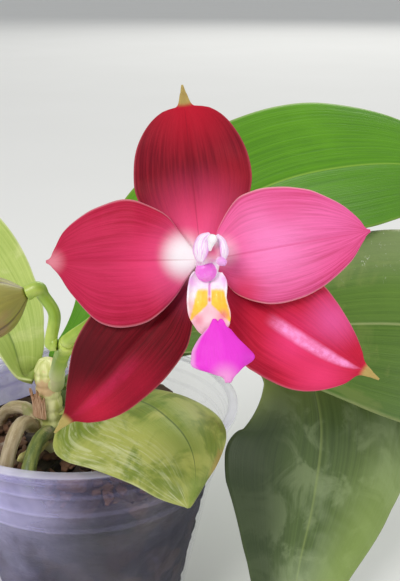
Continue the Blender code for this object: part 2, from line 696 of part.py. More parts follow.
def make_lip(mat, parent):
    """The lip grew as one piece: a scoop with raised side lobes, and a keeled middle lobe."""
    scoop_rows = []
    for share in np.linspace(0.0, 1.0, 7):
        middle = np.array((0.5 + 1.4 * share, -6.2 - 4.4 * share, 1.0 + 4.6 * share))
        half = 2.0 + 3.4 * math.sin(math.pi * min(share * 0.62 + 0.05, 1.0))
        rise = 0.4 + 4.2 * math.sin(math.pi * (0.15 + 0.62 * share))
        row = []
        for s in np.linspace(-1.0, 1.0, 9):
            lift = np.array((0.0, 0.35, 1.0)) * rise * s * s
            row.append(middle + np.array((half * s, 0.0, 0.0)) + lift)
        scoop_rows.append(row)
    lip = sheet("lip", scoop_rows, 1.0, mat, parent)
    spine = [(1.8, -9.6, 5.0), (2.4, -13.0, 6.6), (3.4, -17.5, 8.2), (4.6, -21.8, 9.2),
             (5.3, -24.8, 9.6)]  # fmt: skip
    half = [1.5, 2.4, 3.8, 5.8, 6.8, 4.2, 0.3]
    grid = blade_grid(spine, [(0, 0.4, 1)], half, half, 9, 6, -0.1, 0.35)
    join(lip, sheet("lip_middle", grid, 1.5, mat, parent))
    keel = [(1.6, -9.0, 4.6), (2.6, -13.0, 7.6), (3.8, -18.0, 9.2), (4.9, -22.6, 9.8)]
    join(lip, tube("lip_keel", keel, [0.9, 1.2, 1.0, 0.5], mat, parent, rows=7))
    callus = [(1.2, -7.4, 2.0), (1.2, -7.2, 4.0), (1.3, -8.2, 6.0)]
    join(lip, tube("lip_callus", callus, [1.5, 1.5, 0.7], mat, parent, rows=5))


def join(target, helper):
    """Makes the helper one with the target, so that both are one closed piece."""
    helper.hide_render = True
    helper.display_type = "WIRE"
    modifier = target.modifiers.new(helper.name, "BOOLEAN")
    modifier.operation = "UNION"
    modifier.solver = "EXACT"
    modifier.object = helper


def main():
    clear_scene()
    mats = {
        "pot": material("pot", (0.80, 0.79, 0.90), 0.25, alpha=0.35),
        "mix": material("potting_mix", (0.07, 0.045, 0.03), 0.95),
        "bark": material("bark_chip", (0.20, 0.10, 0.055), 0.9),
        "bark_dark": material("bark_chip_dark", (0.09, 0.05, 0.035), 0.9),
        "stem": material("stem", (0.52, 0.50, 0.16), 0.5),
        "sheath": material("old_sheath", (0.55, 0.33, 0.20), 0.8),
        "root_green": material("root_green", (0.30, 0.36, 0.12), 0.6),
        "root_tan": material("root_tan", (0.62, 0.45, 0.33), 0.7),
        "root_yellow": material("root_yellow", (0.62, 0.62, 0.18), 0.5),
        "leaf_bright": material("leaf_upper_right", (0.12, 0.42, 0.02), 0.35, coat=0.2),
        "leaf_dull": material("leaf_right", (0.16, 0.30, 0.08), 0.4, coat=0.2),
        "leaf_dark": material("leaf_lower_right", (0.08, 0.20, 0.06), 0.35, coat=0.2),
        "leaf_light": material("leaf_left", (0.28, 0.52, 0.12), 0.4, coat=0.2),
        "leaf_old": material("leaf_front_small", (0.34, 0.40, 0.10), 0.4, coat=0.2),
        "stalk": material("flower_stalk", (0.26, 0.50, 0.08), 0.4),
        "bract": material("bract", (0.62, 0.70, 0.45), 0.6),
        "bud": material("flower_bud", (0.42, 0.40, 0.10), 0.45),
        "crimson": material("crimson_tepal", (0.55, 0.03, 0.09), 0.4),
        "crimson_dark": material("dorsal_sepal", (0.35, 0.01, 0.04), 0.4),
        "column": material("column", (0.85, 0.62, 0.85), 0.35),
        "cap": material("anther_cap", (0.92, 0.86, 0.93), 0.35),
        "lip": material("lip", (0.72, 0.05, 0.62), 0.4),
    }
    make_pot(mats["pot"])
    mix = make_mix(mats["mix"])
    plant = empty("plant_seat", (0.0, 0.0, MIX_TOP))
    make_stem(mats["stem"], plant)
    cut(mix, make_stem(mats["stem"], plant, "stem_cutter", GAP, STEM_BELOW + GAP))
    make_chips((mats["bark"], mats["bark_dark"]), plant)
    make_roots(mix, mats, plant)
    make_sheath(mats["sheath"], plant)
    make_leaves(mats, plant)
    make_spike(mats, plant)
    make_flower(mats, empty("flower_seat", FLOWER_PLACE, 90 - FLOWER_TILT, plant))
    bpy.context.view_layer.update()


main()
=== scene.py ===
# %% [markdown]
# A moth orchid in a clear nursery pot, with one open flower and one bud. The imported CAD
# model gives every piece its place. Here each piece gets the finish of the living plant:
# veins, folds, blotches, a translucent pot wall, and bark that looks like bark.
# Sizes are written in millimetres and turned into metres by MM, as in the CAD source.

# %% Load the frame
import math
import random

import bmesh
import bpy
import numpy as np
from mathutils import Matrix, Vector, noise


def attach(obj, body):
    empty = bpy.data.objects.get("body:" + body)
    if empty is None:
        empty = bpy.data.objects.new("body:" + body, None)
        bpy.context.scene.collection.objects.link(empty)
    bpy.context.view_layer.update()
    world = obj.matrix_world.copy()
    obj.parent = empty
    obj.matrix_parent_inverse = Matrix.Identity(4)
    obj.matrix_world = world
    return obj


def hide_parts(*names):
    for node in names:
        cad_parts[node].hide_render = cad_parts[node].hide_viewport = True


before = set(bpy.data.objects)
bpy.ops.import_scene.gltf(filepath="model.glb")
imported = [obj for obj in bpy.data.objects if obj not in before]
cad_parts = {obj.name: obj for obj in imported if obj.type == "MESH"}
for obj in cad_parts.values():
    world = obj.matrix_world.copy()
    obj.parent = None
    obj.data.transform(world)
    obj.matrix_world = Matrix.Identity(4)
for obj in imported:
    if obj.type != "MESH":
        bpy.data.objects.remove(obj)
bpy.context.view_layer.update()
MM = 0.001

# %% [markdown]
# The camera looks down on the flower by 21 degrees, straight along +Y, from close by.
# The flower therefore looks large and the pot falls away below it. The lens is given
# as a 36 mm wide film, whose long side is the height of an upright picture.

# %% Camera
CAMERA_PLACE = (39.5, -243.3, 223.7)
CAMERA_DOWN = 21.0
camera_data = bpy.data.cameras.new("camera")
camera_data.lens = 49.57
camera_data.sensor_width = 36.0
camera_data.clip_start = 0.01
camera = bpy.data.objects.new("camera", camera_data)
camera.location = Vector(CAMERA_PLACE) * MM
camera.rotation_euler = (math.radians(90 - CAMERA_DOWN), 0.0, 0.0)
bpy.context.scene.collection.objects.link(camera)
bpy.context.scene.camera = camera
print("camera at", tuple(camera.location))

# %% [markdown]
# A studio of soft light: a wide key light high in front to the left, a weaker one at the
# right, one behind that lets the leaves glow, and an even grey sky that fills the shadows.
# The floor is pale and plain.

# %% Floor and light
scene = bpy.context.scene
scene.view_settings.view_transform = "Standard"


def area_light(name, place, aim, size, watts, colour):
    lamp = bpy.data.lights.new(name, "AREA")
    lamp.shape = "DISK"
    lamp.size = size
    lamp.energy = watts
    lamp.color = colour
    made = bpy.data.objects.new(name, lamp)
    made.location = place
    made.rotation_euler = (Vector(aim) - Vector(place)).to_track_quat("-Z", "Y").to_euler()
    scene.collection.objects.link(made)
    return made


AIM = (0.03, -0.03, 0.13)
area_light("key_light", (-0.55, -0.85, 1.05), AIM, 0.6, 9.5, (1.0, 0.985, 0.96))
area_light("side_light", (1.1, -0.5, 0.8), AIM, 0.8, 4.5, (1.0, 0.99, 0.97))
area_light("back_light", (0.8, 3.6, 2.7), AIM, 2.6, 62.0, (1.0, 0.99, 0.95))
world = bpy.data.worlds.new("sky")
world.use_nodes = True
sky = world.node_tree.nodes["Background"]
sky.inputs["Color"].default_value = (0.93, 0.95, 0.96, 1.0)
sky.inputs["Strength"].default_value = 0.52
scene.world = world

# %% [markdown]
# Every finish is made of shader nodes. Written as node trees they are long and hard to
# read, so a small class wraps a socket and turns + - * / into Math nodes. Colours are
# blended by Mix nodes, because a Math node would turn them grey.

# %% A socket that can be calculated with
class Socket:
    """One output socket. Arithmetic on it adds a Math node to the same finish."""

    def __init__(self, paint, link):
        self.paint = paint
        self.link = link

    def __add__(self, other):
        return self.paint.maths("ADD", self, other)

    def __radd__(self, other):
        return self.paint.maths("ADD", other, self)

    def __sub__(self, other):
        return self.paint.maths("SUBTRACT", self, other)

    def __rsub__(self, other):
        return self.paint.maths("SUBTRACT", other, self)

    def __mul__(self, other):
        return self.paint.maths("MULTIPLY", self, other)

    def __rmul__(self, other):
        return self.paint.maths("MULTIPLY", other, self)

    def __abs__(self):
        return self.paint.maths("ABSOLUTE", self)


class Finish:
    """A material under construction. Its methods add nodes, and most return a Socket."""

    def __init__(self, name, roughness=0.5, **constants):
        self.material = bpy.data.materials.new(name)
        self.material.use_nodes = True
        self.tree = self.material.node_tree
        self.shader = self.tree.nodes["Principled BSDF"]
        self.shader.inputs["Roughness"].default_value = roughness
        for socket, value in constants.items():
            self.shader.inputs[socket.replace("_", " ")].default_value = value

    def node(self, kind, settings=None, inputs=None, out=0):
        """Any node: its type, its settings, and the values or links of its sockets."""
        made = self.tree.nodes.new(kind)
        for key, value in (settings or {}).items():
            if key == "stops":
                self.set_stops(made.color_ramp, value)
            else:
                setattr(made, key, value)
        for key, value in (inputs or {}).items():
            self.feed(made.inputs[key], value)
        return Socket(self, made.outputs[out])

    def set_stops(self, ramp, stops):
        while len(ramp.elements) < len(stops):
            ramp.elements.new(0.5)
        for element, (position, colour) in zip(ramp.elements, stops):
            element.position = position
            element.color = (*colour, 1.0)

    def feed(self, socket, value):
        if isinstance(value, Socket):
            self.tree.links.new(value.link, socket)
        elif isinstance(value, tuple) and len(value) == 3 and socket.type == "RGBA":
            socket.default_value = (*value, 1.0)
        else:
            socket.default_value = value

    def maths(self, operation, a, b=0.0):
        return self.node("ShaderNodeMath", {"operation": operation}, {0: a, 1: b})

    def noise(self, place, scale, detail=3.0, rough=0.55, distortion=0.0):
        """Smooth noise from 0 to 1 round a half; scale counts its features in one unit."""
        inputs = {"Vector": place, "Scale": scale, "Detail": detail}
        inputs.update({"Roughness": rough, "Distortion": distortion})
        return self.node("ShaderNodeTexNoise", None, inputs)

    def cells(self, place, scale, out="Distance"):
        return self.node("ShaderNodeTexVoronoi", None, {"Vector": place, "Scale": scale}, out)

    def step(self, value, low, high):
        """0 below low, 1 above high, smooth in between. High may be below low."""
        inputs = {"Value": value, "From Min": low, "From Max": high}
        return self.node("ShaderNodeMapRange", {"interpolation_type": "SMOOTHSTEP"}, inputs)

    def blend(self, share, a, b):
        """Colour a, turning into colour b as share goes from 0 to 1."""
        return self.node("ShaderNodeMix", {"data_type": "RGBA"}, {0: share, 6: a, 7: b}, 2)

    def layered(self, colour, *layers):
        """The colour, with each (share, colour) layer painted over it in turn."""
        for share, tint in layers:
            colour = self.blend(share, colour, tint)
        return colour

    def place(self):
        """Where the point is, in metres."""
        return self.node("ShaderNodeTexCoord", out="Object")

    def kept(self, name):
        """The three numbers kept with each point under that name, as a vector."""
        return self.node("ShaderNodeAttribute", {"attribute_name": name}, None, "Vector")

    def parts(self, vector):
        split = self.node("ShaderNodeSeparateXYZ", None, {0: vector})
        outputs = split.link.node.outputs
        return [Socket(self, outputs[i]) for i in range(3)]

    def lay(self):
        """The share across, the share along and the side of a piece."""
        return self.parts(self.kept("lay"))

    def stretch(self, vector, factors):
        settings = {"operation": "MULTIPLY"}
        return self.node("ShaderNodeVectorMath", settings, {0: vector, 1: factors})

    def joined(self, x, y, z=0.0):
        return self.node("ShaderNodeCombineXYZ", None, {0: x, 1: y, 2: z})

    def near(self, place, centre, reach):
        """1 at the centre, falling to 0 where the place is that many units away."""
        away = self.node("ShaderNodeVectorMath", {"operation": "DISTANCE"},
                         {0: place, 1: centre}, "Value")  # fmt: skip
        return self.step(away, reach, 0.0)

    def set(self, socket, value):
        self.feed(self.shader.inputs[socket], value)

    def bump(self, height, strength, depth):
        inputs = {"Strength": strength, "Distance": depth, "Height": height}
        self.set("Normal", self.node("ShaderNodeBump", None, inputs))

    def cover(self, colour, roughness, height, strength, depth):
        """Gives the shader its colour, its roughness and a bump of that depth in metres."""
        self.set("Base Color", colour)
        self.set("Roughness", roughness)
        self.bump(height, strength, depth)


print("shader helpers ready")

# %% Floor
def make_floor():
    paint = Finish("pale_floor", roughness=0.75)
    place = paint.place()
    tone = paint.noise(place, 3.0, 2.0)
    paint.set("Base Color", paint.blend(tone, (0.80, 0.80, 0.785), (0.84, 0.84, 0.83)))
    bm = bmesh.new()
    bmesh.ops.create_grid(bm, x_segments=2, y_segments=2, size=20.0)
    mesh = bpy.data.meshes.new("floor")
    bm.to_mesh(mesh)
    bm.free()
    mesh.materials.append(paint.material)
    floor = bpy.data.objects.new("floor", mesh)
    floor.location.z = -0.0002
    scene.collection.objects.link(floor)
    print("floor laid")


make_floor()

# %% [markdown]
# Leaves, stalks and tepals all follow smooth routes through a few points. The same small
# helpers as in the CAD source draw them, only with many more rows, so that a piece here
# lies where its CAD node is, but is smooth and carries fine folds.

# %% Curves
SAMPLES = 48  # fine steps between two given points of a route


def smooth(points, count):
    """A smooth run of count points through the given ones, evenly spaced along it."""
    knots = np.array(points, float)
    ends = np.vstack([2 * knots[0] - knots[1], knots, 2 * knots[-1] - knots[-2]])
    fine = []
    for i in range(len(knots) - 1):
        a, b, c, d = ends[i : i + 4]
        for t in np.linspace(0.0, 1.0, SAMPLES, endpoint=False):
            bend = (2 * a - 5 * b + 4 * c - d) * t**2 + (3 * b - a - 3 * c + d) * t**3
            fine.append(0.5 * (2 * b + (c - a) * t + bend))
    fine = np.array([*fine, knots[-1]])
    steps = np.linalg.norm(np.diff(fine[:, :3], axis=0), axis=1)
    along = np.concatenate([[0.0], np.cumsum(steps)])
    wanted = np.linspace(0.0, along[-1], count)
    return np.column_stack([np.interp(wanted, along, axis) for axis in fine.T])


def spread(values, count):
    """The given values, read smoothly at count even stations."""
    stations = np.arange(len(values), dtype=float)
    return smooth(np.column_stack([stations * 10.0, values]), count)[:, 1]


def unit(vector):
    return np.array(vector, float) / np.linalg.norm(vector)


def units(vectors):
    return vectors / np.maximum(np.linalg.norm(vectors, axis=-1, keepdims=True), 1e-9)


def run(route, count):
    """Points along a smooth route, with its heading at each."""
    fine = smooth(route, 4 * (count - 1) + 1)
    return fine[::4], units(np.gradient(fine, axis=0))[::4]


def outline(pairs, stations):
    """Half widths at the stations, smoothly through (distance, half width) pairs."""
    fine = smooth(pairs, 24 * len(pairs))
    return np.interp(stations, fine[:, 0], fine[:, 1])


def ripple(seed, *waves):
    """A slow, irregular wave along 0 to 1, from (turns, size) pairs."""
    rng = random.Random(seed)
    terms = [(turns, size, rng.uniform(0.0, 2 * math.pi)) for turns, size in waves]
    return lambda t: sum(z * np.sin(2 * math.pi * n * t + start) for n, z, start in terms)


print("curve helpers ready")

# %% [markdown]
# A piece is born as rows of points. `leafy` gives such a grid a thickness that thins out
# to the margins, as a leaf has, and closes it all round. `tubular` closes rings into a
# stalk. Both keep two vectors with every point for the finishes: `lay`, which says where
# on the piece the point lies, and `spot`, its place in millimetres in the piece's frame.

# %% Meshes from grids
MIX_TOP = 75.0
FLOWER_PLACE = (40.6, -76.0, 90.5)
FLOWER_TILT = 21.0
FLOWER_TURN = np.array(Matrix.Rotation(math.radians(90 - FLOWER_TILT), 3, "X"))


def from_plant(points):
    return np.asarray(points) + (0.0, 0.0, MIX_TOP)


def in_flower(points):
    """Points of the flower's own frame, in the plant's."""
    return np.asarray(points) @ FLOWER_TURN.T + FLOWER_PLACE


def from_flower(points):
    return from_plant(in_flower(points))


def make_mesh(name, points, faces, kept=None):
    mesh = bpy.data.meshes.new(name)
    mesh.from_pydata((np.asarray(points) * MM).tolist(), [], faces)
    for label, values in (kept or {}).items():
        layer = mesh.attributes.new(label, "FLOAT_VECTOR", "POINT")
        layer.data.foreach_set("vector", np.asarray(values, np.float32).ravel())
    bm = bmesh.new()
    bm.from_mesh(mesh)
    bmesh.ops.recalc_face_normals(bm, faces=bm.faces)
    bm.to_mesh(mesh)
    bm.free()
    mesh.shade_smooth()
    return mesh


def piece(name, mesh, finish, slot, *nodes):
    """Puts a mesh in the scene as a piece of the object that stands for CAD nodes."""
    mesh.materials.append(finish)
    made = bpy.data.objects.new(name, mesh)
    scene.collection.objects.link(made)
    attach(made, "root")
    if nodes:
        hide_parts(*nodes)
    return made


def wrap(rows, cols):
    """Faces between rows of points, each row a closed ring of cols points."""
    faces = []
    for i in range(rows - 1):
        for j in range(cols):
            k = (j + 1) % cols
            faces.append((i * cols + j, i * cols + k, (i + 1) * cols + k, (i + 1) * cols + j))
    return faces


def closed_wrap(rows, cols):
    """The faces of wrap, and one face over each end."""
    ends = [tuple(range(cols)), tuple(range((rows - 1) * cols, rows * cols))]
    return wrap(rows, cols) + ends


def leafy(name, grid, thickness, place, thin=0.3, lay_length=None):
    """A closed thin solid over a grid of rows; it is full in the middle, thin at margins."""
    rows, cols = grid.shape[:2]
    normal = units(np.cross(np.gradient(grid, axis=1), np.gradient(grid, axis=0)))
    s = np.linspace(-1.0, 1.0, cols)[None, :]
    t = np.linspace(0.0, 1.0, rows)[:, None]
    body = np.clip(1 - s**6, 0, 1) * np.clip((1 - t) * 12, 0, 1) ** 0.5
    half = thickness / 2 * (thin + (1 - thin) * body)[..., None]
    upper, lower = grid + normal * half, grid - normal * half
    rings = np.concatenate([upper, lower[:, ::-1]], axis=1)
    lay = np.zeros((rows, 2 * cols, 3))
    lay[:, :cols, 0], lay[:, cols:, 0] = s, s[:, ::-1]
    lay[..., 1] = t
    lay[:, :cols, 2], lay[:, cols:, 2] = 1.0, -1.0
    if lay_length is not None:
        lay[..., 1] = lay_length[:, None]
    faces = wrap(rows, 2 * cols)
    for end in (0, (rows - 1) * 2 * cols):
        for j in range(cols - 1):
            faces.append((end + j, end + j + 1, end + 2 * cols - 2 - j, end + 2 * cols - 1 - j))
    points = rings.reshape(-1, 3)
    kept = {"lay": lay.reshape(-1, 3), "spot": points}
    return make_mesh(name, place(points), faces, kept)


def tube_rings(points, headings, radii, sides, shape=None):
    """Round rings along a path; shape(turn, share) may swell or pinch them."""
    rings = []
    side = unit(np.cross((0.13, 0.31, 0.94), headings[0]))
    turns = np.linspace(0.0, 2 * math.pi, sides, endpoint=False)
    for i, (point, along, radius) in enumerate(zip(points, headings, radii)):
        side = unit(side - along * side.dot(along))
        up = np.cross(along, side)
        reach = radius * (shape(turns, i / (len(points) - 1)) if shape else np.ones(sides))
        circle = np.cos(turns)[:, None] * side + np.sin(turns)[:, None] * up
        rings.append(point + reach[:, None] * circle)
    return np.array(rings)


def tubular(name, rings, place):
    """A closed solid over rings, with both ends rounded over."""
    middles = rings.mean(axis=1, keepdims=True)
    rim = np.linalg.norm(rings[[0, -1]] - middles[[0, -1]], axis=2).mean(axis=1)
    out = [unit(middles[0, 0] - middles[1, 0]), unit(middles[-1, 0] - middles[-2, 0])]
    caps = []
    for which, end in ((0, 0), (1, -1)):
        for shrink, lift in ((0.8, 0.22), (0.45, 0.34), (0.05, 0.38)):
            ring = middles[end] + (rings[end] - middles[end]) * shrink
            caps.append(ring + out[which] * lift * min(rim[which], 1.2) * 0.6)
    rings = np.concatenate([[caps[2], caps[1], caps[0]], rings, caps[3:]])
    rows, cols = rings.shape[:2]
    lay = np.zeros((rows, cols, 3))
    lay[..., 0] = np.linspace(0.0, 2 * math.pi, cols, endpoint=False)
    lay[..., 1] = np.linspace(0.0, 1.0, rows)[:, None]
    points = rings.reshape(-1, 3)
    kept = {"lay": lay.reshape(-1, 3), "spot": points}
    return make_mesh(name, place(points), closed_wrap(rows, cols), kept)


print("mesh helpers ready")

# %% [markdown]
# The pot is a soft, clear nursery pot with a rolled flange and raised rings under it. It is
# turned from a profile and squeezed a little along Y, as soft pots are. Clear plastic that
# has been in use is never quite clear: it has a milky violet haze, scuffs, and dried water
# marks, so the haze is a varying alpha, with faint upright streaks. On the left, the side
# the light comes from, the haze is painted thicker as painted light.

# %% Pot shape
POT_HEIGHT = 90.0
POT_BASE = 30.5
POT_RIM = 50.0
POT_SQUEEZE = 0.12
POT_WALL = 0.8
POT_FLOOR = 1.4
FLANGE = 52.5
RIB_DEPTHS = (5.0, 10.0, 17.0, 23.5)
POT_SIDES = 180
DRAIN_CIRCLE = 19.0
DRAIN_RADIUS = 3.0
DRAIN_HOLES = 6


def wall_radius(height):
    return POT_BASE + (POT_RIM - POT_BASE) * height / POT_HEIGHT


def oval(radius, height, sides=POT_SIDES):
    wall = wall_radius(height)
    deep = wall * (1.0 - POT_SQUEEZE * height / POT_HEIGHT) + (radius - wall)
    turns = np.linspace(0.0, 2 * math.pi, sides, endpoint=False)
    flat = np.full(sides, height)
    return np.column_stack([radius * np.cos(turns), deep * np.sin(turns), flat])


def pot_profile():
    """(radius, height) from the middle of the floor, up inside, over the rim and down."""
    spots = [(0.5, POT_FLOOR), (12.0, POT_FLOOR), (27.0, POT_FLOOR)]
    spots.append((wall_radius(3.0) - POT_WALL - 0.6, POT_FLOOR + 0.2))
    top = POT_HEIGHT
    for height in np.linspace(4.0, top - 0.8, 16):
        spots.append((wall_radius(height) - POT_WALL, height))
    spots += [(POT_RIM - 0.5, top - 0.1), (POT_RIM + 0.2, top), (FLANGE - 0.4, top)]
    spots += [(FLANGE, top - 0.4), (FLANGE, top - 2.0), (FLANGE - 0.15, top - 2.4)]
    spots += [(FLANGE - 0.65, top - 2.4), (FLANGE - 0.8, top - 2.1), (FLANGE - 0.8, top - 1.0)]
    spots.append((wall_radius(top - 0.9), top - 0.9))
    for depth in RIB_DEPTHS:
        for step, out in ((-0.9, 0.0), (-0.55, 0.28), (-0.2, 0.48), (0.2, 0.5), (0.55, 0.3),
                          (0.9, 0.0)):  # fmt: skip
            height = top - depth - step
            spots.append((wall_radius(height) + out, height))
        if depth == RIB_DEPTHS[-1]:
            continue
        height = top - depth - 2.4
        spots.append((wall_radius(height) + 0.06, height))
    for height in np.linspace(62.0, 2.0, 12):
        spots.append((wall_radius(height), height))
    spots += [(POT_BASE + 0.1, 0.7), (POT_BASE - 0.5, 0.05), (POT_BASE - 1.5, 0.0)]
    return spots + [(12.0, 0.0), (0.5, 0.0)]


def make_pot(finish):
    rings = np.array([oval(*spot) for spot in pot_profile()])
    faces = closed_wrap(*rings.shape[:2])
    mesh = make_mesh("nursery_pot", rings.reshape(-1, 3), faces)
    pot = piece("nursery_pot", mesh, finish, "pot", "pot")
    for i in range(DRAIN_HOLES):
        turn = 2 * math.pi * (i + 0.5) / DRAIN_HOLES
        bpy.ops.mesh.primitive_cylinder_add(vertices=32, radius=DRAIN_RADIUS * MM, depth=8 * MM)
        drill = bpy.context.object
        drill.location = (DRAIN_CIRCLE * MM * math.cos(turn), DRAIN_CIRCLE * MM * math.sin(turn), 0)
        hole = pot.modifiers.new("drain_hole", "BOOLEAN")
        hole.object = drill
        hole.solver = "EXACT"
        bpy.context.view_layer.objects.active = pot
        bpy.ops.object.modifier_apply(modifier=hole.name)
        bpy.data.objects.remove(drill, do_unlink=True)
    pot.data.set_sharp_from_angle(angle=math.radians(60))
    print("pot faces:", len(pot.data.polygons))
    return pot


def pot_finish():
    paint = Finish("hazy_clear_plastic", roughness=0.22, IOR=1.49, Specular_IOR_Level=0.3)
    place = paint.place()
    x, y, z = paint.parts(place)
    upright = paint.noise(paint.stretch(place, (1.0, 1.0, 0.08)), 260.0, 4.0)
    clouds = paint.noise(place, 28.0, 4.0, 0.6)
    specks = paint.step(paint.cells(place, 420.0), 0.16, 0.05)
    marks = paint.step(paint.noise(place, 90.0, 6.0, 0.7, 1.2), 0.60, 0.70)
    collar = paint.step(z, 0.062, 0.074)
    # Painted light: the haze on the wall and on its rings is made thicker on the left, the side the
    # light comes from.
    left = paint.step(x, 0.012, -0.038)
    edge = paint.step(z, (POT_HEIGHT - 1.2) * MM, (POT_HEIGHT - 0.3) * MM)
    rings = sum(paint.step(abs(z - (POT_HEIGHT - depth) * MM), 0.0007, 0.0002)
                for depth in RIB_DEPTHS)  # fmt: skip
    milky = paint.blend(clouds, (0.34, 0.30, 0.66), (0.68, 0.65, 0.93))
    paint.set("Base Color", paint.blend(0.6 * edge, milky, (0.88, 0.88, 0.90)))
    mist = paint.step(clouds, 0.30, 0.70)
    haze = 0.008 + 0.02 * clouds + (0.34 * left + 0.03 * collar + 0.50 * collar * left) * mist
    haze = haze + (0.10 + 0.25 * left) * rings * (0.3 + 0.7 * clouds) + 0.35 * edge
    paint.set("Alpha", haze + 0.14 * marks * clouds + 0.25 * specks * marks + 0.03 * upright)
    paint.set("Roughness", 0.16 + 0.22 * clouds)
    paint.bump(upright * 0.5 + clouds, 0.25, 0.0006)
    return paint.material


make_pot(pot_finish())

# %% [markdown]
# Through the wall one sees the potting mix: coarse bark pieces pressed against the plastic,
# with dark gaps between them. The mix is one lump whose skin is pushed in between the chunks.

# %% Potting mix
GAP = 0.35


def chunks(point, size):
    """0 in the gaps between chunks of that size in mm, up to 1 on their middles."""
    away = noise.voronoi(Vector(point) / size)[0]
    return min(1.0, (away[1] - away[0]) * 2.2)


def mix_radius(height):
    return wall_radius(height) - POT_WALL - GAP


def make_mix(finish):
    rows = []
    for height in np.linspace(1.8, MIX_TOP - 0.6, 74):
        ring = oval(mix_radius(height), height)
        level = ring.mean(axis=0)
        for point in ring:
            lump = 1.0 - chunks(point, 7.5)
            fine = 0.5 + 0.5 * noise.noise(Vector(point) * 0.55)
            point -= unit(point - level) * (0.15 + 0.9 * lump + 0.35 * fine)
        rows.append(ring)
    for share in np.linspace(0.965, 0.02, 46):
        ring = oval(mix_radius(MIX_TOP), MIX_TOP) * (share, share, 1.0)
        for point in ring:
            lump = chunks(point + (0, 0, 31.0), 6.5)
            point[2] += -3.4 + 3.2 * lump + 0.5 * noise.noise(Vector(point) * 0.5)
        rows.append(ring)
    faces = closed_wrap(len(rows), POT_SIDES)
    mesh = make_mesh("bark_mix", np.array(rows).reshape(-1, 3), faces)
    piece("bark_mix", mesh, finish, "potting_mix", "potting_mix")
    print("potting mix rows:", len(rows))


def mix_finish():
    paint = Finish("damp_bark_mix", roughness=0.9)
    place = paint.place()
    chunk = paint.cells(place, 135.0, out="Color")
    tone = paint.parts(chunk)[0]
    grain = paint.noise(paint.stretch(place, (1.0, 1.0, 3.0)), 420.0, 6.0, 0.65)
    brown = paint.node("ShaderNodeValToRGB", {"stops": [
        (0.0, (0.012, 0.009, 0.007)), (0.45, (0.035, 0.022, 0.014)),
        (0.75, (0.075, 0.038, 0.022)), (1.0, (0.15, 0.09, 0.05))]}, {0: tone})  # fmt: skip
    damp = paint.step(paint.noise(place, 34.0, 3.0), 0.42, 0.60)
    colour = paint.blend(0.5 * grain * damp, brown, (0.20, 0.19, 0.12))
    # Painted shade: from just below the top downwards, deeper in the pot, the mix is darkened to
    # green-black.
    deep = paint.step(paint.parts(place)[2], 0.074, 0.066)
    colour = paint.blend(0.75 * deep, colour, (0.010, 0.014, 0.010))
    paint.cover(colour, 0.95 - 0.35 * damp, grain + tone, 0.7, 0.0008)
    return paint.material


make_mix(mix_finish())

# %% [markdown]
# The loose chips on top are the CAD's blocks, cut finer, and broken up: bark splits along
# flat layers, so the surface is pushed in and out in bands. Between them lies small litter,
# a few hundred crumbs in one piece, which keeps clear of the wall and the stem.

# %% Bark chips and litter
STEM_PLACE = (-12.0, -1.5)
CHIPS = 12


def chip_finish(name, dark, light):
    paint = Finish(name, roughness=0.88)
    place = paint.place()
    layers = paint.noise(paint.stretch(place, (0.5, 0.5, 3.2)), 300.0, 5.0, 0.6, 0.4)
    patch = paint.noise(place, 110.0, 4.0)
    mould = paint.step(paint.noise(place, 70.0, 5.0, 0.7), 0.60, 0.74)
    brown = paint.blend(layers, dark, light)
    colour = paint.blend(mould * 0.5, brown, (0.42, 0.40, 0.33))
    paint.cover(colour, 0.95 - 0.3 * patch, layers + 0.5 * patch, 0.8, 0.0007)
    return paint.material


def make_chips(finishes):
    for i in range(CHIPS):
        node = f"bark_chip_{i + 1}"
        bm = bmesh.new()
        bm.from_mesh(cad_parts[node].data)
        bmesh.ops.remove_doubles(bm, verts=bm.verts, dist=1e-6)
        for _ in range(3):
            bmesh.ops.subdivide_edges(bm, edges=bm.edges, cuts=1, use_grid_fill=True)
            bmesh.ops.smooth_vert(bm, verts=bm.verts, factor=0.35,
                                  use_axis_x=True, use_axis_y=True, use_axis_z=True)  # fmt: skip
        bm.normal_update()
        for vert in bm.verts:
            spot = vert.co / MM + Vector((i * 13.0, 0.0, 0.0))
            layer = noise.noise(Vector((spot.x * 0.25, spot.y * 0.25, spot.z * 1.3)))
            rough = noise.fractal(spot * 0.45, 1.0, 2.0, 3)
            vert.co += vert.normal * (0.45 * layer + 0.4 * rough) * MM
        mesh = bpy.data.meshes.new(node)
        bm.to_mesh(mesh)
        bm.free()
        mesh.shade_smooth()
        slot = "bark_chip" if i % 2 == 0 else "bark_chip_dark"
        piece(f"loose_{node}", mesh, finishes[i % 2], slot, node)
    print("chips made:", CHIPS)


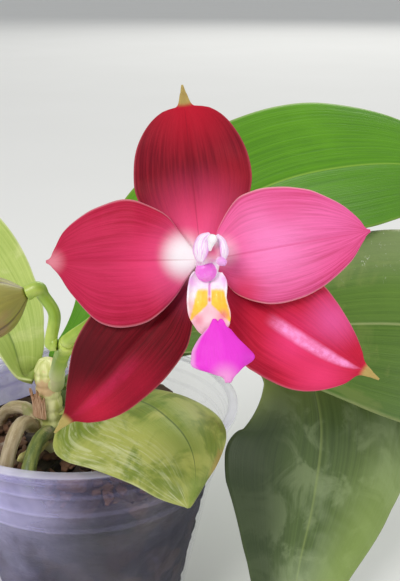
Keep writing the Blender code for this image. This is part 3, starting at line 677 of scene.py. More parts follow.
def make_litter(finish, count=330):
    rng = random.Random(11)
    points, faces = [], []
    wide, deep = mix_radius(MIX_TOP) - 3.0, mix_radius(MIX_TOP) * 0.9 - 3.0
    while len(faces) < count * 6:
        turn, reach = rng.uniform(0, 2 * math.pi), math.sqrt(rng.random())
        x, y = wide * reach * math.cos(turn), deep * reach * math.sin(turn)
        if math.hypot(x - STEM_PLACE[0], y - STEM_PLACE[1]) < 9.0:
            continue
        size = np.array([rng.uniform(1.6, 5.2), rng.uniform(1.2, 3.2), rng.uniform(0.7, 1.7)])
        turned = Matrix.Rotation(rng.uniform(0, math.pi), 3, "Z") @ Matrix.Rotation(
            rng.uniform(-0.5, 0.5), 3, "X"
        )
        start = len(points)
        for corner in ((-1, -1, -1), (1, -1, -1), (1, 1, -1), (-1, 1, -1),
                       (-1, -1, 1), (1, -1, 1), (1, 1, 1), (-1, 1, 1)):  # fmt: skip
            bent = [c * half / 2 * rng.uniform(0.7, 1.1) for c, half in zip(corner, size)]
            spot = turned @ Vector(bent)
            points.append((x + spot.x, y + spot.y, MIX_TOP - 0.6 + spot.z))
        for face in ((0, 1, 2, 3), (4, 5, 6, 7), (0, 1, 5, 4), (1, 2, 6, 5), (2, 3, 7, 6),
                     (3, 0, 4, 7)):  # fmt: skip
            faces.append(tuple(start + k for k in face))
    litter = piece("bark_litter", make_mesh("bark_litter", points, faces), finish, "bark_chip")
    rounding = litter.modifiers.new("rounding", "BEVEL")
    rounding.width = 0.25 * MM
    rounding.segments = 1
    print("litter crumbs:", count)


bark = chip_finish("weathered_bark", (0.030, 0.016, 0.010), (0.22, 0.10, 0.05))
bark_dark = chip_finish("dark_bark", (0.012, 0.009, 0.007), (0.085, 0.045, 0.028))
make_chips((bark, bark_dark))
make_litter(bark)

# %% [markdown]
# The stem is short, and ringed by the clasping bases of its leaves. Roots leave it low
# down: thick, smooth, green where they are wet and tan where they are dry, with
# one fresh yellow tip. They arch over and go down into the mix.

# %% Stem and roots
STEM_RADIUS = 5.4
STEM_ABOVE = 31.0
SEATING = 0.6
LEAF_SEATING = 0.75
ROOT_RADIUS = 2.4


def stem_radius(height):
    waist = 0.18 * math.cos(2 * math.pi * height / STEM_ABOVE)
    taper = 0.25 * max(height, 0.0) / STEM_ABOVE
    return STEM_RADIUS * (1.0 + 0.35 * waist - taper)


def stem_side(angle, height, away=SEATING):
    """A point beside the stem, away from its skin by that many mm."""
    turn = math.radians(angle)
    reach = stem_radius(height) + away
    return (
        STEM_PLACE[0] + reach * math.cos(turn),
        STEM_PLACE[1] + reach * math.sin(turn),
        height,
    )


def green_skin(name, light, dark, tan, tan_share=0.0, roughness=0.45):
    """Stalks and roots: two greens in long streaks, with tan worn patches and specks."""
    paint = Finish(name, roughness=roughness, Coat_Weight=0.1, Coat_Roughness=0.3)
    place = paint.place()
    turn, along, _ = paint.lay()
    streak = paint.noise(paint.joined(turn * 0.5, along * 1.6), 3.2, 4.0)
    patch = paint.noise(place, 120.0, 4.0, 0.6)
    speck = paint.step(paint.cells(place, 1080.0), 0.22, 0.08)
    worn = paint.step(patch, 0.62 - 0.35 * tan_share, 0.74 - 0.3 * tan_share)
    colour = paint.layered(dark, (paint.step(streak, 0.35, 0.65), light), (worn * 0.8, tan),
                           (speck * 0.25, (0.75, 0.72, 0.50)))  # fmt: skip
    paint.cover(colour, roughness - 0.1 + 0.25 * patch, patch + 0.3 * speck, 0.35, 0.0005)
    return paint.material


def make_stem(finish):
    heights = np.linspace(-13.0, STEM_ABOVE, 70)
    points = np.array([(*STEM_PLACE, height) for height in heights])
    radii = np.array([stem_radius(height) for height in heights])
    for collar in (9.5, 13.0, 17.5, 22.0, 26.5):
        radii -= 0.45 * np.exp(-(((heights - collar) / 0.7) ** 2))
    radii *= np.clip((STEM_ABOVE + 1.2 - heights) / 5.0, 0.25, 1.0) ** 0.4
    upright = np.tile((0.0, 0.0, 1.0), (len(points), 1))
    rings = tube_rings(points, upright, radii, 40)
    piece("crown_stem", tubular("crown_stem", rings, from_plant), finish, "stem", "stem")
    print("stem height:", STEM_ABOVE, "mm")


def root_specs():
    """Name, slot, route and size. Routes run on in shares of the mix's half sizes."""

    def route(angle, height, *shares):
        wide = mix_radius(MIX_TOP)
        deep = wall_radius(MIX_TOP) * (1 - POT_SQUEEZE * MIX_TOP / POT_HEIGHT) - POT_WALL - GAP
        start = [stem_side(angle, height), stem_side(angle, height + 0.6, 2.6)]
        return start + [(x * wide, y * deep, z) for x, y, z in shares]

    return (
        ("root_front", "root_green", route(
            -84, 6.5, (-0.25, -0.30, 9.5), (-0.29, -0.49, 10.0), (-0.32, -0.66, 5.5),
            (-0.33, -0.75, -0.5), (-0.34, -0.77, -7.0)), 1.0),
        ("root_left", "root_tan", route(
            -140, 8.0, (-0.40, -0.28, 13.0), (-0.42, -0.46, 15.0), (-0.46, -0.62, 10.0),
            (-0.50, -0.70, 1.0), (-0.51, -0.72, -6.0)), 1.0),
        ("root_tip_low", "root_yellow", route(
            -105, 2.6, (-0.33, -0.30, 2.8), (-0.38, -0.38, 2.9), (-0.44, -0.46, 3.0)), 0.75),
        ("root_back", "root_green", route(
            80, 7.0, (-0.20, 0.26, 9.5), (-0.12, 0.44, 8.0), (-0.05, 0.58, 2.0),
            (-0.03, 0.62, -6.0)), 1.0),
        ("root_back_left", "root_tan", route(
            155, 6.0, (-0.48, 0.12, 9.0), (-0.62, 0.20, 7.0), (-0.72, 0.26, 1.0),
            (-0.74, 0.28, -6.0)), 1.0),
        ("root_right", "root_green", route(
            0, 5.0, (-0.02, -0.06, 7.5), (0.14, -0.05, 6.0), (0.26, -0.03, 0.5),
            (0.30, -0.02, -6.0)), 0.9),
    )  # fmt: skip


def make_roots(finishes):
    for seed, (name, slot, route, size) in enumerate(root_specs()):
        full = ROOT_RADIUS * size
        rows = 64
        points, headings = run(route, rows)
        swell = ripple(seed, (2.3, 0.03), (5.1, 0.025), (11.0, 0.012))
        radii = spread([full, full, full, full, 0.8 * full], rows)
        radii = radii * (0.97 + swell(np.linspace(0, 1, rows)))
        if route[-1][2] > 0:
            radii *= np.clip((1 - np.linspace(0, 1, rows)) * 9, 0.12, 1.0) ** 0.45
        mesh = tubular(name, tube_rings(points, headings, radii, 26), from_plant)
        piece(f"{name}_skin", mesh, finishes[slot], slot, name)
    print("roots made:", seed + 1)


stem_paint = green_skin(
    "leaf_base_green", (0.86, 0.86, 0.44), (0.52, 0.56, 0.16), (0.70, 0.42, 0.24), 0.3
)
make_stem(stem_paint)
root_paints = {
    "root_green": green_skin(
        "wet_root", (0.27, 0.31, 0.08), (0.10, 0.15, 0.03), (0.40, 0.33, 0.16), 0.15, 0.4
    ),
    "root_tan": green_skin(
        "dry_root", (0.52, 0.43, 0.27), (0.33, 0.25, 0.13), (0.24, 0.26, 0.08), 0.2, 0.6
    ),
    "root_yellow": green_skin(
        "root_tip", (0.70, 0.64, 0.24), (0.48, 0.46, 0.12), (0.60, 0.45, 0.30), 0.1, 0.45
    ),
}
make_roots(root_paints)

# %% Old sheath
def make_sheath():
    """The dried, papery base of a lost leaf, torn along its upper edge."""
    paint = Finish("papery_sheath", roughness=0.8)
    s, t, _ = paint.lay()
    place = paint.place()
    fibre = paint.noise(paint.joined(s * 9.0, t * 0.8), 2.0, 4.0, 0.6)
    brown = paint.blend(paint.step(fibre, 0.4, 0.65), (0.42, 0.22, 0.11), (0.80, 0.56, 0.38))
    edge = paint.step(t, 0.7, 1.0)
    colour = paint.blend(edge * 0.6, brown, (0.36, 0.17, 0.08))
    paint.cover(colour, 0.7 + 0.2 * paint.noise(place, 300.0), fibre, 0.8, 0.0004)
    rows, cols = 30, 40
    grid = np.zeros((rows, cols, 3))
    for i, share in enumerate(np.linspace(0.0, 1.0, rows)):
        for j, turn in enumerate(np.linspace(-155.0, -92.0, cols)):
            k = j / (cols - 1) * 6
            ragged = (1.6 * math.sin(2.1 * k) + 0.7 * math.sin(7.0 * k)) * share
            crimp = 0.12 * math.sin(9.0 * k) * (0.3 + share)
            height = 11.5 + 9.0 * share + ragged
            grid[i, j] = stem_side(turn, height, 0.3 + SEATING + 0.9 * share**2 + 0.25 + crimp)
    mesh = leafy("papery_sheath", grid, 0.5, from_plant, thin=0.6)
    piece("papery_sheath", mesh, paint.material, "old_sheath", "old_sheath")
    print("sheath made")


make_sheath()

# %% [markdown]
# The leaves are broad, thick straps with one groove along the middle. Their veins run
# lengthwise, side by side, and are seen as faint stripes. No two leaves here have the same
# green: the top one glows with light from behind, the one below it is dull and scratched,
# with a painted grey sheen on its upper half, the lowest is painted dark as a leaf in shade,
# with patches of painted grey sheen, a painted light band and a painted shadow beside the
# pot, the left one has painted shade along its groove, and the small front one is old and
# mottled.

# %% Leaf shape
def blade_grid(spine, facing, left, right, rows, cols, channel, curl, groove=0.55, wave=None):
    """Rows of points of a leaf. The spine runs from base to tip; facing is where its upper
    face looks; left and right are half widths; channel lifts the margins near the base."""
    points, headings = run(spine, rows)
    looks = smooth(facing, rows)
    lefts, rights = spread(left, rows), spread(right, rows)
    grid = np.zeros((rows, cols, 3))
    shares = np.linspace(-1.0, 1.0, cols)
    shares = np.sign(shares) * np.abs(shares) ** 1.12
    for i, along in enumerate(headings):
        face = unit(looks[i] - along * looks[i].dot(along))
        across = np.cross(along, face)
        t = i / (rows - 1)
        half = np.maximum(np.where(shares > 0, rights[i], lefts[i]), 0.25)
        size = np.abs(shares)
        rise = channel * (1 - t) * size**1.5 - curl * math.sin(math.pi * t) * shares**2
        lift = rise * half - groove * np.exp(-((shares * half / 1.6) ** 2)) * (1 - t**4)
        if wave:
            lift = lift + wave(t + 0.18 * np.sign(shares)) * size**2.2 * np.clip(half / 18, 0, 1)
        grid[i] = points[i] + (shares * half)[:, None] * across + lift[:, None] * face
    return grid


def fan_grid(left, midrib, right, rows, cols, groove=0.45):
    """Rows of points of a leaf that fans out. The routes run from base to tip along its left
    margin, its midrib and its right margin, and each row bows smoothly through all three."""
    low, mid, high = (smooth(route, rows)[:, None] for route in (left, midrib, right))
    s = np.linspace(-1.0, 1.0, cols)[None, :, None]
    t = np.linspace(0.0, 1.0, rows)[:, None, None]
    grid = mid + (high - low) / 2 * s + ((high + low) / 2 - mid) * s * s
    normal = units(np.cross(np.gradient(grid, axis=1), np.gradient(grid, axis=0)))
    margins = 0.35 * np.sin(5.0 * math.pi * t + 2.0 * np.sign(s)) * np.abs(s) ** 3 * (1 - t**3)
    return grid + normal * (margins - groove * np.exp(-((s * 14.0) ** 2)) * (1 - t**4))


def leaf_base(angle, height):
    return [stem_side(angle, height, LEAF_SEATING), stem_side(angle, height + 2.0, 4.5)]


def shifted(points, x, y):
    return [np.array(point) + (x, y, 0.0) for point in points]


FAN_BASE = leaf_base(-18, 12.5)
FAN = dict(
    left=[*shifted(FAN_BASE, 1.1, 3.4), (8, -2.5, 19.5), (18.1, -8.1, 25), (29, -20, 28),
          (36.5, -24.5, 28), (43, -29.5, 27), (46.3, -34.5, 25.5), (47, -40, 23.5),
          (44.5, -49, 21.5), (40.5, -56.5, 19.5), (36.8, -63.3, 17)],
    midrib=[*FAN_BASE, (5, -10, 20), (15.7, -18.7, 26), (24.5, -31, 30), (31.4, -41.6, 30.5),
            (35.6, -48.4, 29), (37.8, -54, 26), (38.1, -59.6, 22), (36.5, -63.5, 17)],
    right=[*shifted(FAN_BASE, -1.1, -3.4), (-3.5, -18, 20.5), (-3.8, -31.4, 23), (-4, -38.5, 20),
           (0, -43, 18.6), (8.7, -46.6, 18), (20.2, -53.8, 18), (28.5, -60.8, 18),
           (36.2, -63.4, 17)],
)  # fmt: skip


LEAVES = {
    "leaf_upper_right": dict(
        channel=0.35, curl=0.08,
        spine=[*leaf_base(48, 29), (6, 9.5, 43), (22, 25, 56), (40, 40, 65), (62, 55, 75),
               (88, 67, 80), (121, 78, 80), (150, 84, 72), (172, 86, 60)],
        facing=[(-0.4, -0.2, 1), (-0.3, -0.6, 0.75), (0.1, -0.6, 0.75), (0.15, -0.5, 0.8)],
        left=[4.5, 19, 33, 36, 37, 36, 33, 23, 0], right=[4.2, 6.5, 11, 20, 30, 33, 30, 21, 0],
    ),
    "leaf_right": dict(
        channel=0.3, curl=0.1,
        spine=[*leaf_base(6, 21), (18, 6, 31), (48, 13, 37), (80, 18, 35), (112, 21, 34),
               (142, 21, 29), (170, 17, 18), (192, 11, 3), (204, 8, -8)],
        facing=[(-0.2, 0, 1), (0, -0.4, 0.9), (0, -0.88, 0.45), (0, -0.9, 0.42),
                (0.2, -0.85, 0.45), (0.3, -0.8, 0.5)],
        left=[3.6, 6.5, 11.5, 23, 36, 38, 33, 20, 0], right=[3.6, 6.5, 11, 22, 34, 37, 32, 20, 0],
    ),
    "leaf_lower_right": dict(
        channel=0.25, curl=0.12,
        spine=[*leaf_base(47, 12), (12, 16, 23), (34, 22, 32), (55, 24, 34), (75, 20, 23),
               (83, 11, 1), (80, -3, -22), (74, -16, -41), (69, -32, -56), (66, -46, -64)],
        facing=[(-0.1, -0.3, 0.95), (0, -0.3, 0.95), (0.4, -0.6, 0.7), (0.45, -0.85, 0.3),
                (0.4, -0.8, 0.5)],
        left=[3.6, 7, 12, 19, 30, 37, 43, 44, 40, 27, 0],
        right=[3.6, 7, 11, 12, 14, 17, 23, 33, 38, 30, 0],
    ),
    "leaf_left": dict(
        channel=0.55, curl=0.05,
        spine=[*leaf_base(172, 23), (-24, 3, 36), (-32, 11, 46), (-52, 23, 58), (-80, 33, 64),
               (-108, 40, 60), (-132, 44, 46), (-146, 45, 34)],
        facing=[(0.3, 0, 1), (0.3, -0.7, 0.7), (0, -0.6, 0.8), (-0.2, -0.3, 0.9)],
        left=[4.5, 14, 23, 27, 28, 25, 17, 0], right=[4.5, 13, 24, 28, 28, 25, 17, 0],
    ),
}  # fmt: skip
print("leaf shapes:", len(LEAVES) + 1)

# %% [markdown]
# One recipe serves all the leaves. `lay` gives the share across and along the leaf. Noise
# that is stretched along it gives the stripes between veins; round noise gives mottling;
# a thin light line marks the midrib, and a paler rim the margin. The wax on a leaf is
# uneven, so the roughness changes from place to place.

# %% Leaf finish
def leaf_finish(name, deep, fresh, rib, mottle=None, mottled=0.0, coat=0.06, veins=1.0):
    paint = Finish(name, roughness=0.4, Coat_Weight=coat, Coat_Roughness=0.3,
                   Specular_IOR_Level=0.3)  # fmt: skip
    place = paint.place()
    s, t, _ = paint.lay()
    stripe = paint.noise(paint.joined(s * 11.0, t * 1.1), 2.6, 5.0, 0.62)
    fine = paint.noise(paint.joined(s * 42.0, t * 2.0), 2.0, 3.0)
    cloud = paint.noise(place, 26.0, 4.0, 0.55)
    grain = paint.noise(place, 900.0, 2.0)
    colour = paint.layered(deep, (paint.step(stripe, 0.05, 0.95), fresh),
                           (0.15 * paint.step(fine, 0.45, 0.7), deep),
                           (0.6 * paint.step(cloud, 0.45, 0.75), fresh))  # fmt: skip
    if mottle:
        blotch = paint.step(paint.noise(place, 62.0, 5.0, 0.6, 0.6), 0.60 - 0.2 * mottled,
                            0.74 - 0.2 * mottled)  # fmt: skip
        colour = paint.blend(blotch * mottled, colour, mottle)
    midrib = paint.step(abs(s), 0.045, 0.0)
    margin = paint.step(abs(s), 0.965, 1.0)
    scar = paint.noise(paint.joined(s * 2.0, t * 16.0), 9.0, 6.0, 0.75, 0.8)
    scar = paint.step(scar, 0.70, 0.78)
    colour = paint.layered(colour, (0.55 * midrib, rib), (0.5 * margin, rib),
                           (0.35 * scar, (0.55, 0.58, 0.42)))  # fmt: skip
    paint.set("Roughness", 0.30 + 0.28 * cloud + 0.1 * scar)
    paint.bump(veins * (0.6 * fine + stripe) + 0.25 * grain, 0.35, 0.0006)
    return paint, place, s, t, colour


def finish_leaves():
    """Each leaf's finish: the common recipe, then what only this leaf shows."""
    made = {}
    paint, _, s, _, colour = leaf_finish(
        "bright_leaf", (0.048, 0.175, 0.002), (0.120, 0.340, 0.004), (0.32, 0.50, 0.06), coat=0.05
    )
    shade = paint.step(s, 0.0, 0.9)
    paint.set("Base Color", paint.blend(0.30 * shade, colour, (0.040, 0.135, 0.002)))
    made["leaf_upper_right"] = paint
    paint, _, s, t, colour = leaf_finish(
        "dull_leaf", (0.062, 0.135, 0.014), (0.125, 0.235, 0.028), (0.42, 0.46, 0.20),
        (0.21, 0.27, 0.06), 0.5,
    )  # fmt: skip
    scratch = paint.noise(paint.joined(s * 7.0, t * 90.0), 1.6, 5.0, 0.7, 1.5)
    scratch = paint.step(scratch, 0.62, 0.70)
    # Painted sheen: the upper half of the blade is washed grey-olive; the pale scratches are drawn
    # only there.
    upper = paint.step(s, -0.35, -0.85)
    colour = paint.layered(
        colour, (0.45 * upper, (0.30, 0.34, 0.18)),
        (0.8 * scratch * upper, (0.80, 0.80, 0.72)))  # fmt: skip
    paint.set("Base Color", colour)
    made["leaf_right"] = paint
    paint, place, s, t, colour = leaf_finish(
        "shaded_leaf", (0.045, 0.080, 0.018), (0.130, 0.200, 0.050), (0.30, 0.38, 0.11),
        (0.24, 0.31, 0.14), 0.7, coat=0.15,
    )  # fmt: skip
    # Painted shade: this leaf has darker greens, as foliage in shade. On it lie patches of painted
    # grey sheen, a painted light band across its middle, and a painted shadow on the half that lies
    # beside the pot.
    grey_sheen = paint.noise(place, 19.0, 4.0, 0.6, 0.5)
    lit_band = paint.step(t, 0.30, 0.42) * paint.step(t, 0.60, 0.46)
    outer = paint.step(s, -0.1, -0.8) * paint.step(t, 0.5, 0.75)
    pot_shadow = paint.step(s, 0.10, 0.75) * paint.step(t, 0.40, 0.6)
    colour = paint.layered(
        colour, (0.55 * paint.step(grey_sheen, 0.48, 0.66), (0.32, 0.40, 0.21)),
        (0.65 * lit_band, (0.30, 0.36, 0.08)), (0.7 * outer, (0.27, 0.38, 0.08)),
        (0.8 * pot_shadow, (0.020, 0.036, 0.010)))  # fmt: skip
    paint.set("Base Color", colour)
    made["leaf_lower_right"] = paint
    paint, _, s, _, colour = leaf_finish(
        "light_leaf", (0.26, 0.38, 0.055), (0.56, 0.66, 0.19), (0.74, 0.78, 0.42),
        (0.72, 0.74, 0.36), 0.4,
    )  # fmt: skip
    # Painted shade: a dark green line along the groove of the midrib.
    groove = paint.step(abs(s + 0.06), 0.16, 0.02)
    paint.set("Base Color", paint.blend(0.55 * groove, colour, (0.10, 0.20, 0.03)))
    made["leaf_left"] = paint
    paint, place, s, t, colour = leaf_finish(
        "old_mottled_leaf", (0.10, 0.160, 0.014), (0.25, 0.31, 0.04), (0.47, 0.50, 0.13),
        (0.43, 0.45, 0.11), 0.75, veins=0.7,
    )  # fmt: skip
    tan = paint.step(paint.noise(place, 48.0, 4.0, 0.65), 0.56, 0.66)
    green = paint.step(abs(s), 0.5, 0.1) * (1.0 - tan)
    stain = paint.step(paint.noise(place, 75.0, 5.0, 0.65, 0.4), 0.40, 0.62)
    brown = paint.step(s, -0.25, -0.85) * stain
    dust = paint.step(paint.noise(paint.joined(s * 7.0, t * 2.2), 3.0, 6.0, 0.7, 0.5), 0.46, 0.66)
    pale = paint.step(s, 0.20, 0.70)
    vein = paint.step(abs(s), 0.028, 0.006)
    colour = paint.layered(
        colour, (0.6 * tan * paint.step(s, -0.55, -0.95), (0.50, 0.27, 0.07)),
        (0.5 * green, (0.15, 0.25, 0.03)), (0.6 * brown, (0.14, 0.13, 0.025)),
        (0.4 * dust * pale, (0.74, 0.76, 0.50)), (0.75 * vein, (0.05, 0.10, 0.015)))  # fmt: skip
    paint.set("Base Color", colour)
    made["leaf_front_small"] = paint
    return {leaf: paint.material for leaf, paint in made.items()}


def make_leaves():
    finishes = finish_leaves()
    grids = {"leaf_front_small": fan_grid(rows=120, cols=75, **FAN)}
    for seed, (name, shape) in enumerate(LEAVES.items()):
        wave = ripple(seed + 20, (1.6, 0.9), (3.3, 0.5), (6.1, 0.2))
        grids[name] = blade_grid(rows=120, cols=61, wave=wave, **shape)
    for name, grid in grids.items():
        thick = 1.3 if name == "leaf_front_small" else 1.7
        mesh = leafy(f"{name}_blade", grid, thick, from_plant)
        piece(f"{name}_blade", mesh, finishes[name], name, name)
    print("leaves made:", len(grids))


make_leaves()

# %% [markdown]
# The spike is a smooth, juicy stalk. It leaves the stem between two leaves, carries a
# small scale at each joint, and forks into the flower's stalk and the bud's. The bud is
# three sepals shut over each other, so three seams run along it.

# %% Spike, stalks and bud
SPIKE_RADIUS = 2.3
STALK_RADIUS = 1.6
SPIKE_BENDS = ((-6.0, -15.0, 31.0), (-4.0, -25.0, 38.0), (1.0, -42.0, 52.0))
FORK = (5.7, -56.7, 62.7)
FORK_HEADING = (0.2, -0.7, 0.6)
BUD_BASE = (-4.0, -55.5, 76.0)
BUD_HEADING = (-0.93, -0.1, -0.35)
BUD_RADIUS = 8.0
BUD_LENGTH = 23.0


def bud_end(distance):
    return np.array(BUD_BASE) + distance * unit(BUD_HEADING)


def stalk_finish():
    paint = Finish("juicy_stalk", roughness=0.36, Coat_Weight=0.25, Coat_Roughness=0.2)
    place = paint.place()
    turn, along, _ = paint.lay()
    streak = paint.noise(paint.joined(turn * 1.2, along * 1.2), 2.4, 4.0)
    cloud = paint.noise(place, 80.0, 3.0)
    # Painted highlight: near its foot the spike is painted pale yellow-white.
    foot = paint.near(paint.kept("spot"), (-5.0, -18.0, 33.0), 34.0)
    colour = paint.layered(
        (0.17, 0.33, 0.03), (streak, (0.42, 0.60, 0.06)),
        (paint.step(cloud, 0.5, 0.7), (0.52, 0.64, 0.12)),
        (0.9 * foot, (0.90, 0.93, 0.52)))  # fmt: skip
    paint.cover(colour, 0.30 + 0.2 * cloud, streak + 0.5 * cloud, 0.25, 0.0004)
    return paint.material


def make_stalk(name, route, radii, finish, rows=70, swell=()):
    points, headings = run(route, rows)
    shares = np.linspace(0.0, 1.0, rows)
    radii = spread(radii, rows)
    for where, wide, more in swell:
        radii = radii * (1 + more * np.exp(-(((shares - where) / wide) ** 2)))
    mesh = tubular(f"{name}_skin", tube_rings(points, headings, radii, 24), from_plant)
    piece(f"{name}_skin", mesh, finish, "flower_stalk", name)


def make_bract(name, finish, centre, heading, outwards):
    along = unit(heading)
    out = unit(np.array(outwards) - along * along.dot(outwards))
    foot = np.array(centre) + out * (SPIKE_RADIUS + 0.7)
    spine = [foot + along * reach + out * 0.06 * reach**2 for reach in (0.0, 2.5, 5.0)]
    grid = blade_grid(spine, [out, out], [1.7, 1.6, 0.0], [1.7, 1.6, 0.0], 26, 17, -0.1, 0.1, 0.05)
    mesh = leafy(f"{name}_scale", grid, 0.45, from_plant)
    piece(f"{name}_scale", mesh, finish, "bract", name)


def make_spike():
    green = stalk_finish()
    thick, thin = SPIKE_RADIUS, STALK_RADIUS
    fork = np.array(FORK)
    route = [stem_side(-55, 24), stem_side(-55, 24.6, 2.8), *SPIKE_BENDS, fork]
    make_stalk("flower_spike", route, [thick, thick, 0.95 * thick, 0.95 * thick, thick], green,
               swell=((0.35, 0.03, 0.12), (0.93, 0.04, 0.14)))  # fmt: skip
    along = unit(FORK_HEADING)
    back, bend = in_flower((0.0, 0.0, -3.9)), in_flower((0.0, 0.0, -9.9))
    end = in_flower((0.0, 0.0, -3.4))
    start = fork + along * SEATING
    route = [start, start + 3 * along, fork + (9, -4, 9), back + (-14, 7, -4), bend, back, end]
    make_stalk("flower_pedicel", route, [thin, thin, thin, thin, 1.25 * thin, 1.5 * thin], green)
    side = unit(np.cross(along, (0.0, 1.0, 0.2)))
    start = fork - 2.5 * along + side * (thick + SEATING)
    route = [start, start + 1.5 * side, fork + (-3.4, 2.0, 7.0), fork + (-6.0, 2.5, 12.0),
             bud_end(-3.0), bud_end(0.0)]  # fmt: skip
    make_stalk("bud_pedicel", route, [thin, thin, thin, 1.25 * thin], green,
               swell=((0.03, 0.05, 0.25),))  # fmt: skip

    paint = Finish("bract_scale", roughness=0.6)
    s, t, _ = paint.lay()
    tone = paint.noise(paint.joined(s * 5.0, t), 3.0, 3.0)
    green_tone = paint.blend(tone, (0.42, 0.52, 0.16), (0.75, 0.78, 0.50))
    paint.set("Base Color", paint.blend(paint.step(t, 0.5, 1.0), green_tone, (0.62, 0.42, 0.25)))
    paint.set("Roughness", 0.5 + 0.2 * tone)
    make_bract("bract_upper", paint.material, fork - 4.0 * along, along, (0.9, -0.2, 0.5))
    make_bract("bract_lower", paint.material, SPIKE_BENDS[1], (0.22, -0.78, 0.6), (0.5, -0.1, 0.9))
    print("spike length:", round(np.linalg.norm(fork - np.array(SPIKE_BENDS[0])), 1), "mm")


def make_bud():
    paint = Finish("bud_skin", roughness=0.42, Coat_Weight=0.15, Coat_Roughness=0.3)
    place = paint.place()
    turn, along, _ = paint.lay()
    streak = paint.noise(paint.joined(turn * 2.2, along * 1.5), 3.0, 4.0)
    cloud = paint.noise(place, 90.0, 4.0, 0.6)
    underside = paint.step(paint.parts(place)[2], 0.146, 0.136)
    seam = paint.step(paint.maths("COSINE", turn * 3.0), -0.965, -1.0)
    colour = paint.layered(
        (0.20, 0.20, 0.035), (streak, (0.46, 0.42, 0.09)),
        (0.7 * paint.step(cloud, 0.5, 0.68), (0.36, 0.22, 0.08)),
        (0.6 * underside, (0.20, 0.11, 0.07)), (0.75 * seam, (0.10, 0.055, 0.03)))  # fmt: skip
    paint.cover(colour, 0.36 + 0.2 * cloud, streak + cloud, 0.3, 0.0005)
    rows, shape = 60, [0.22, 0.6, 0.86, 0.98, 1.0, 0.93, 0.77, 0.5, 0.05]
    axis = [bud_end(SEATING + share * BUD_LENGTH) for share in np.linspace(0, 1, rows)]
    radii = BUD_RADIUS * np.clip(spread(shape, rows), 0.04, None)

    def seams(turns, share):
        bulge = 1 + 0.035 * np.cos(3 * turns) * math.sin(math.pi * share)
        notch = 0.055 * np.exp(-(((np.cos(3 * turns) + 1) / 0.05) ** 2))
        return bulge - notch * math.sin(math.pi * min(1.0, share * 1.1 + 0.05))

    headings = np.tile(unit(BUD_HEADING), (rows, 1))
    rings = tube_rings(axis, headings, radii, 84, seams)
    mesh = tubular("closed_bud", rings, from_plant)
    piece("closed_bud", mesh, paint.material, "flower_bud", "flower_bud")
    print("bud length:", BUD_LENGTH, "mm")


make_spike()
make_bud()

# %% [markdown]
# The flower has three sepals behind and two broader petals in front of them. Each is a
# thin sheet whose outline is known on both sides of its middle line. The sepals end in a
# small hard point. The surface is not flat: a crease runs along the middle, the margin
# rolls back a little, and the whole sheet ripples slowly.

# %% Tepal shape
SEPAL_LEVEL = -2.7
PETAL_LEVEL = -1.3
TEPALS = {
    "dorsal_sepal": dict(
        base=(-0.9, 2.2), tip=(-4.6, 35.8), level=SEPAL_LEVEL, lean=-1.4, channel=0.0, curl=-0.04,
        left=[(0, 1.4), (5, 7.2), (10, 11), (15, 13), (19, 13.2), (24, 12.3), (28, 10.4), (31, 8),
              (33, 5), (33.9, 1.6), (38.2, 0.2)],
        right=[(0, 1.4), (5, 7.4), (10, 11.2), (15, 13.1), (19, 13.4), (24, 12.5), (28, 10.7),
               (31, 8.4), (33, 5.4), (33.9, 1.8), (38.2, 0.2)],
    ),
    "left_petal": dict(
        base=(-2.0, 1.2), tip=(-34.2, 0.8), level=PETAL_LEVEL, lean=1.8, channel=0.0, curl=0.1,
        left=[(0, 1.3), (1.8, 3.6), (5.3, 8.8), (10.2, 13.2), (15.7, 14.8), (20.5, 14.2),
              (23.8, 11.9), (27.9, 6.9), (30.4, 3), (32.4, 0.9), (33.4, 0.3)],
        right=[(0, 1.3), (3.8, 6.4), (7.1, 10.4), (13.9, 13.4), (19, 13), (24.5, 10.6),
               (29.2, 6.8), (31.2, 3.2), (32.4, 0.9), (33.4, 0.3)],
    ),
    "right_petal": dict(
        base=(2.0, 1.4), tip=(35.8, 7.5), level=PETAL_LEVEL, lean=1.8, channel=0.0, curl=0.1,
        left=[(0, 1.3), (2.2, 6.4), (6.6, 11.6), (10.2, 13.2), (16.1, 13.4), (23.6, 11.2),
              (29.6, 7.2), (32.8, 3.6), (34.4, 0.9), (35.4, 0.3)],
        right=[(0, 1.3), (1.5, 5), (4.2, 9), (10.4, 12), (17.2, 12), (23.4, 10.1), (29.7, 6),
               (33, 2.4), (34.4, 0.9), (35.4, 0.3)],
    ),
    "left_lateral_sepal": dict(
        base=(-1.5, -1.6), tip=(-30.8, -34.3), level=SEPAL_LEVEL, lean=-1.0, channel=0.08, curl=0.1,
        left=[(0, 1.2), (5, 3.6), (11.6, 8), (16, 9.7), (24, 10.3), (32.8, 9.1), (38, 7),
              (41.5, 4.2), (43.7, 1.4), (48, 0.2)],
        right=[(0, 1.2), (6, 6), (12, 9.4), (18, 11.3), (23, 11.7), (30.6, 10), (37.3, 6),
               (41, 3.2), (43.7, 1.4), (48, 0.2)],
    ),
    "right_lateral_sepal": dict(
        base=(1.8, -1.2), tip=(35.4, -23.2), level=SEPAL_LEVEL, lean=-1.0, channel=0.08, curl=0.1,
        left=[(0, 1.2), (6, 6.5), (12, 10), (18, 11.2), (22.7, 11), (27, 9.6), (30.4, 8),
              (34.6, 5.6), (37.8, 3.3), (40, 1.4), (44.2, 0.2)],
        right=[(0, 1.2), (5, 6), (10, 10.5), (16.9, 13.6), (21, 13.9), (25, 13.6), (29, 12.8),
               (32.6, 11.1), (35.9, 8.4), (38.6, 5), (40.2, 1.6), (44.2, 0.2)],
    ),
}  # fmt: skip
TEPAL_ROWS = 110
TEPAL_COLS = 57


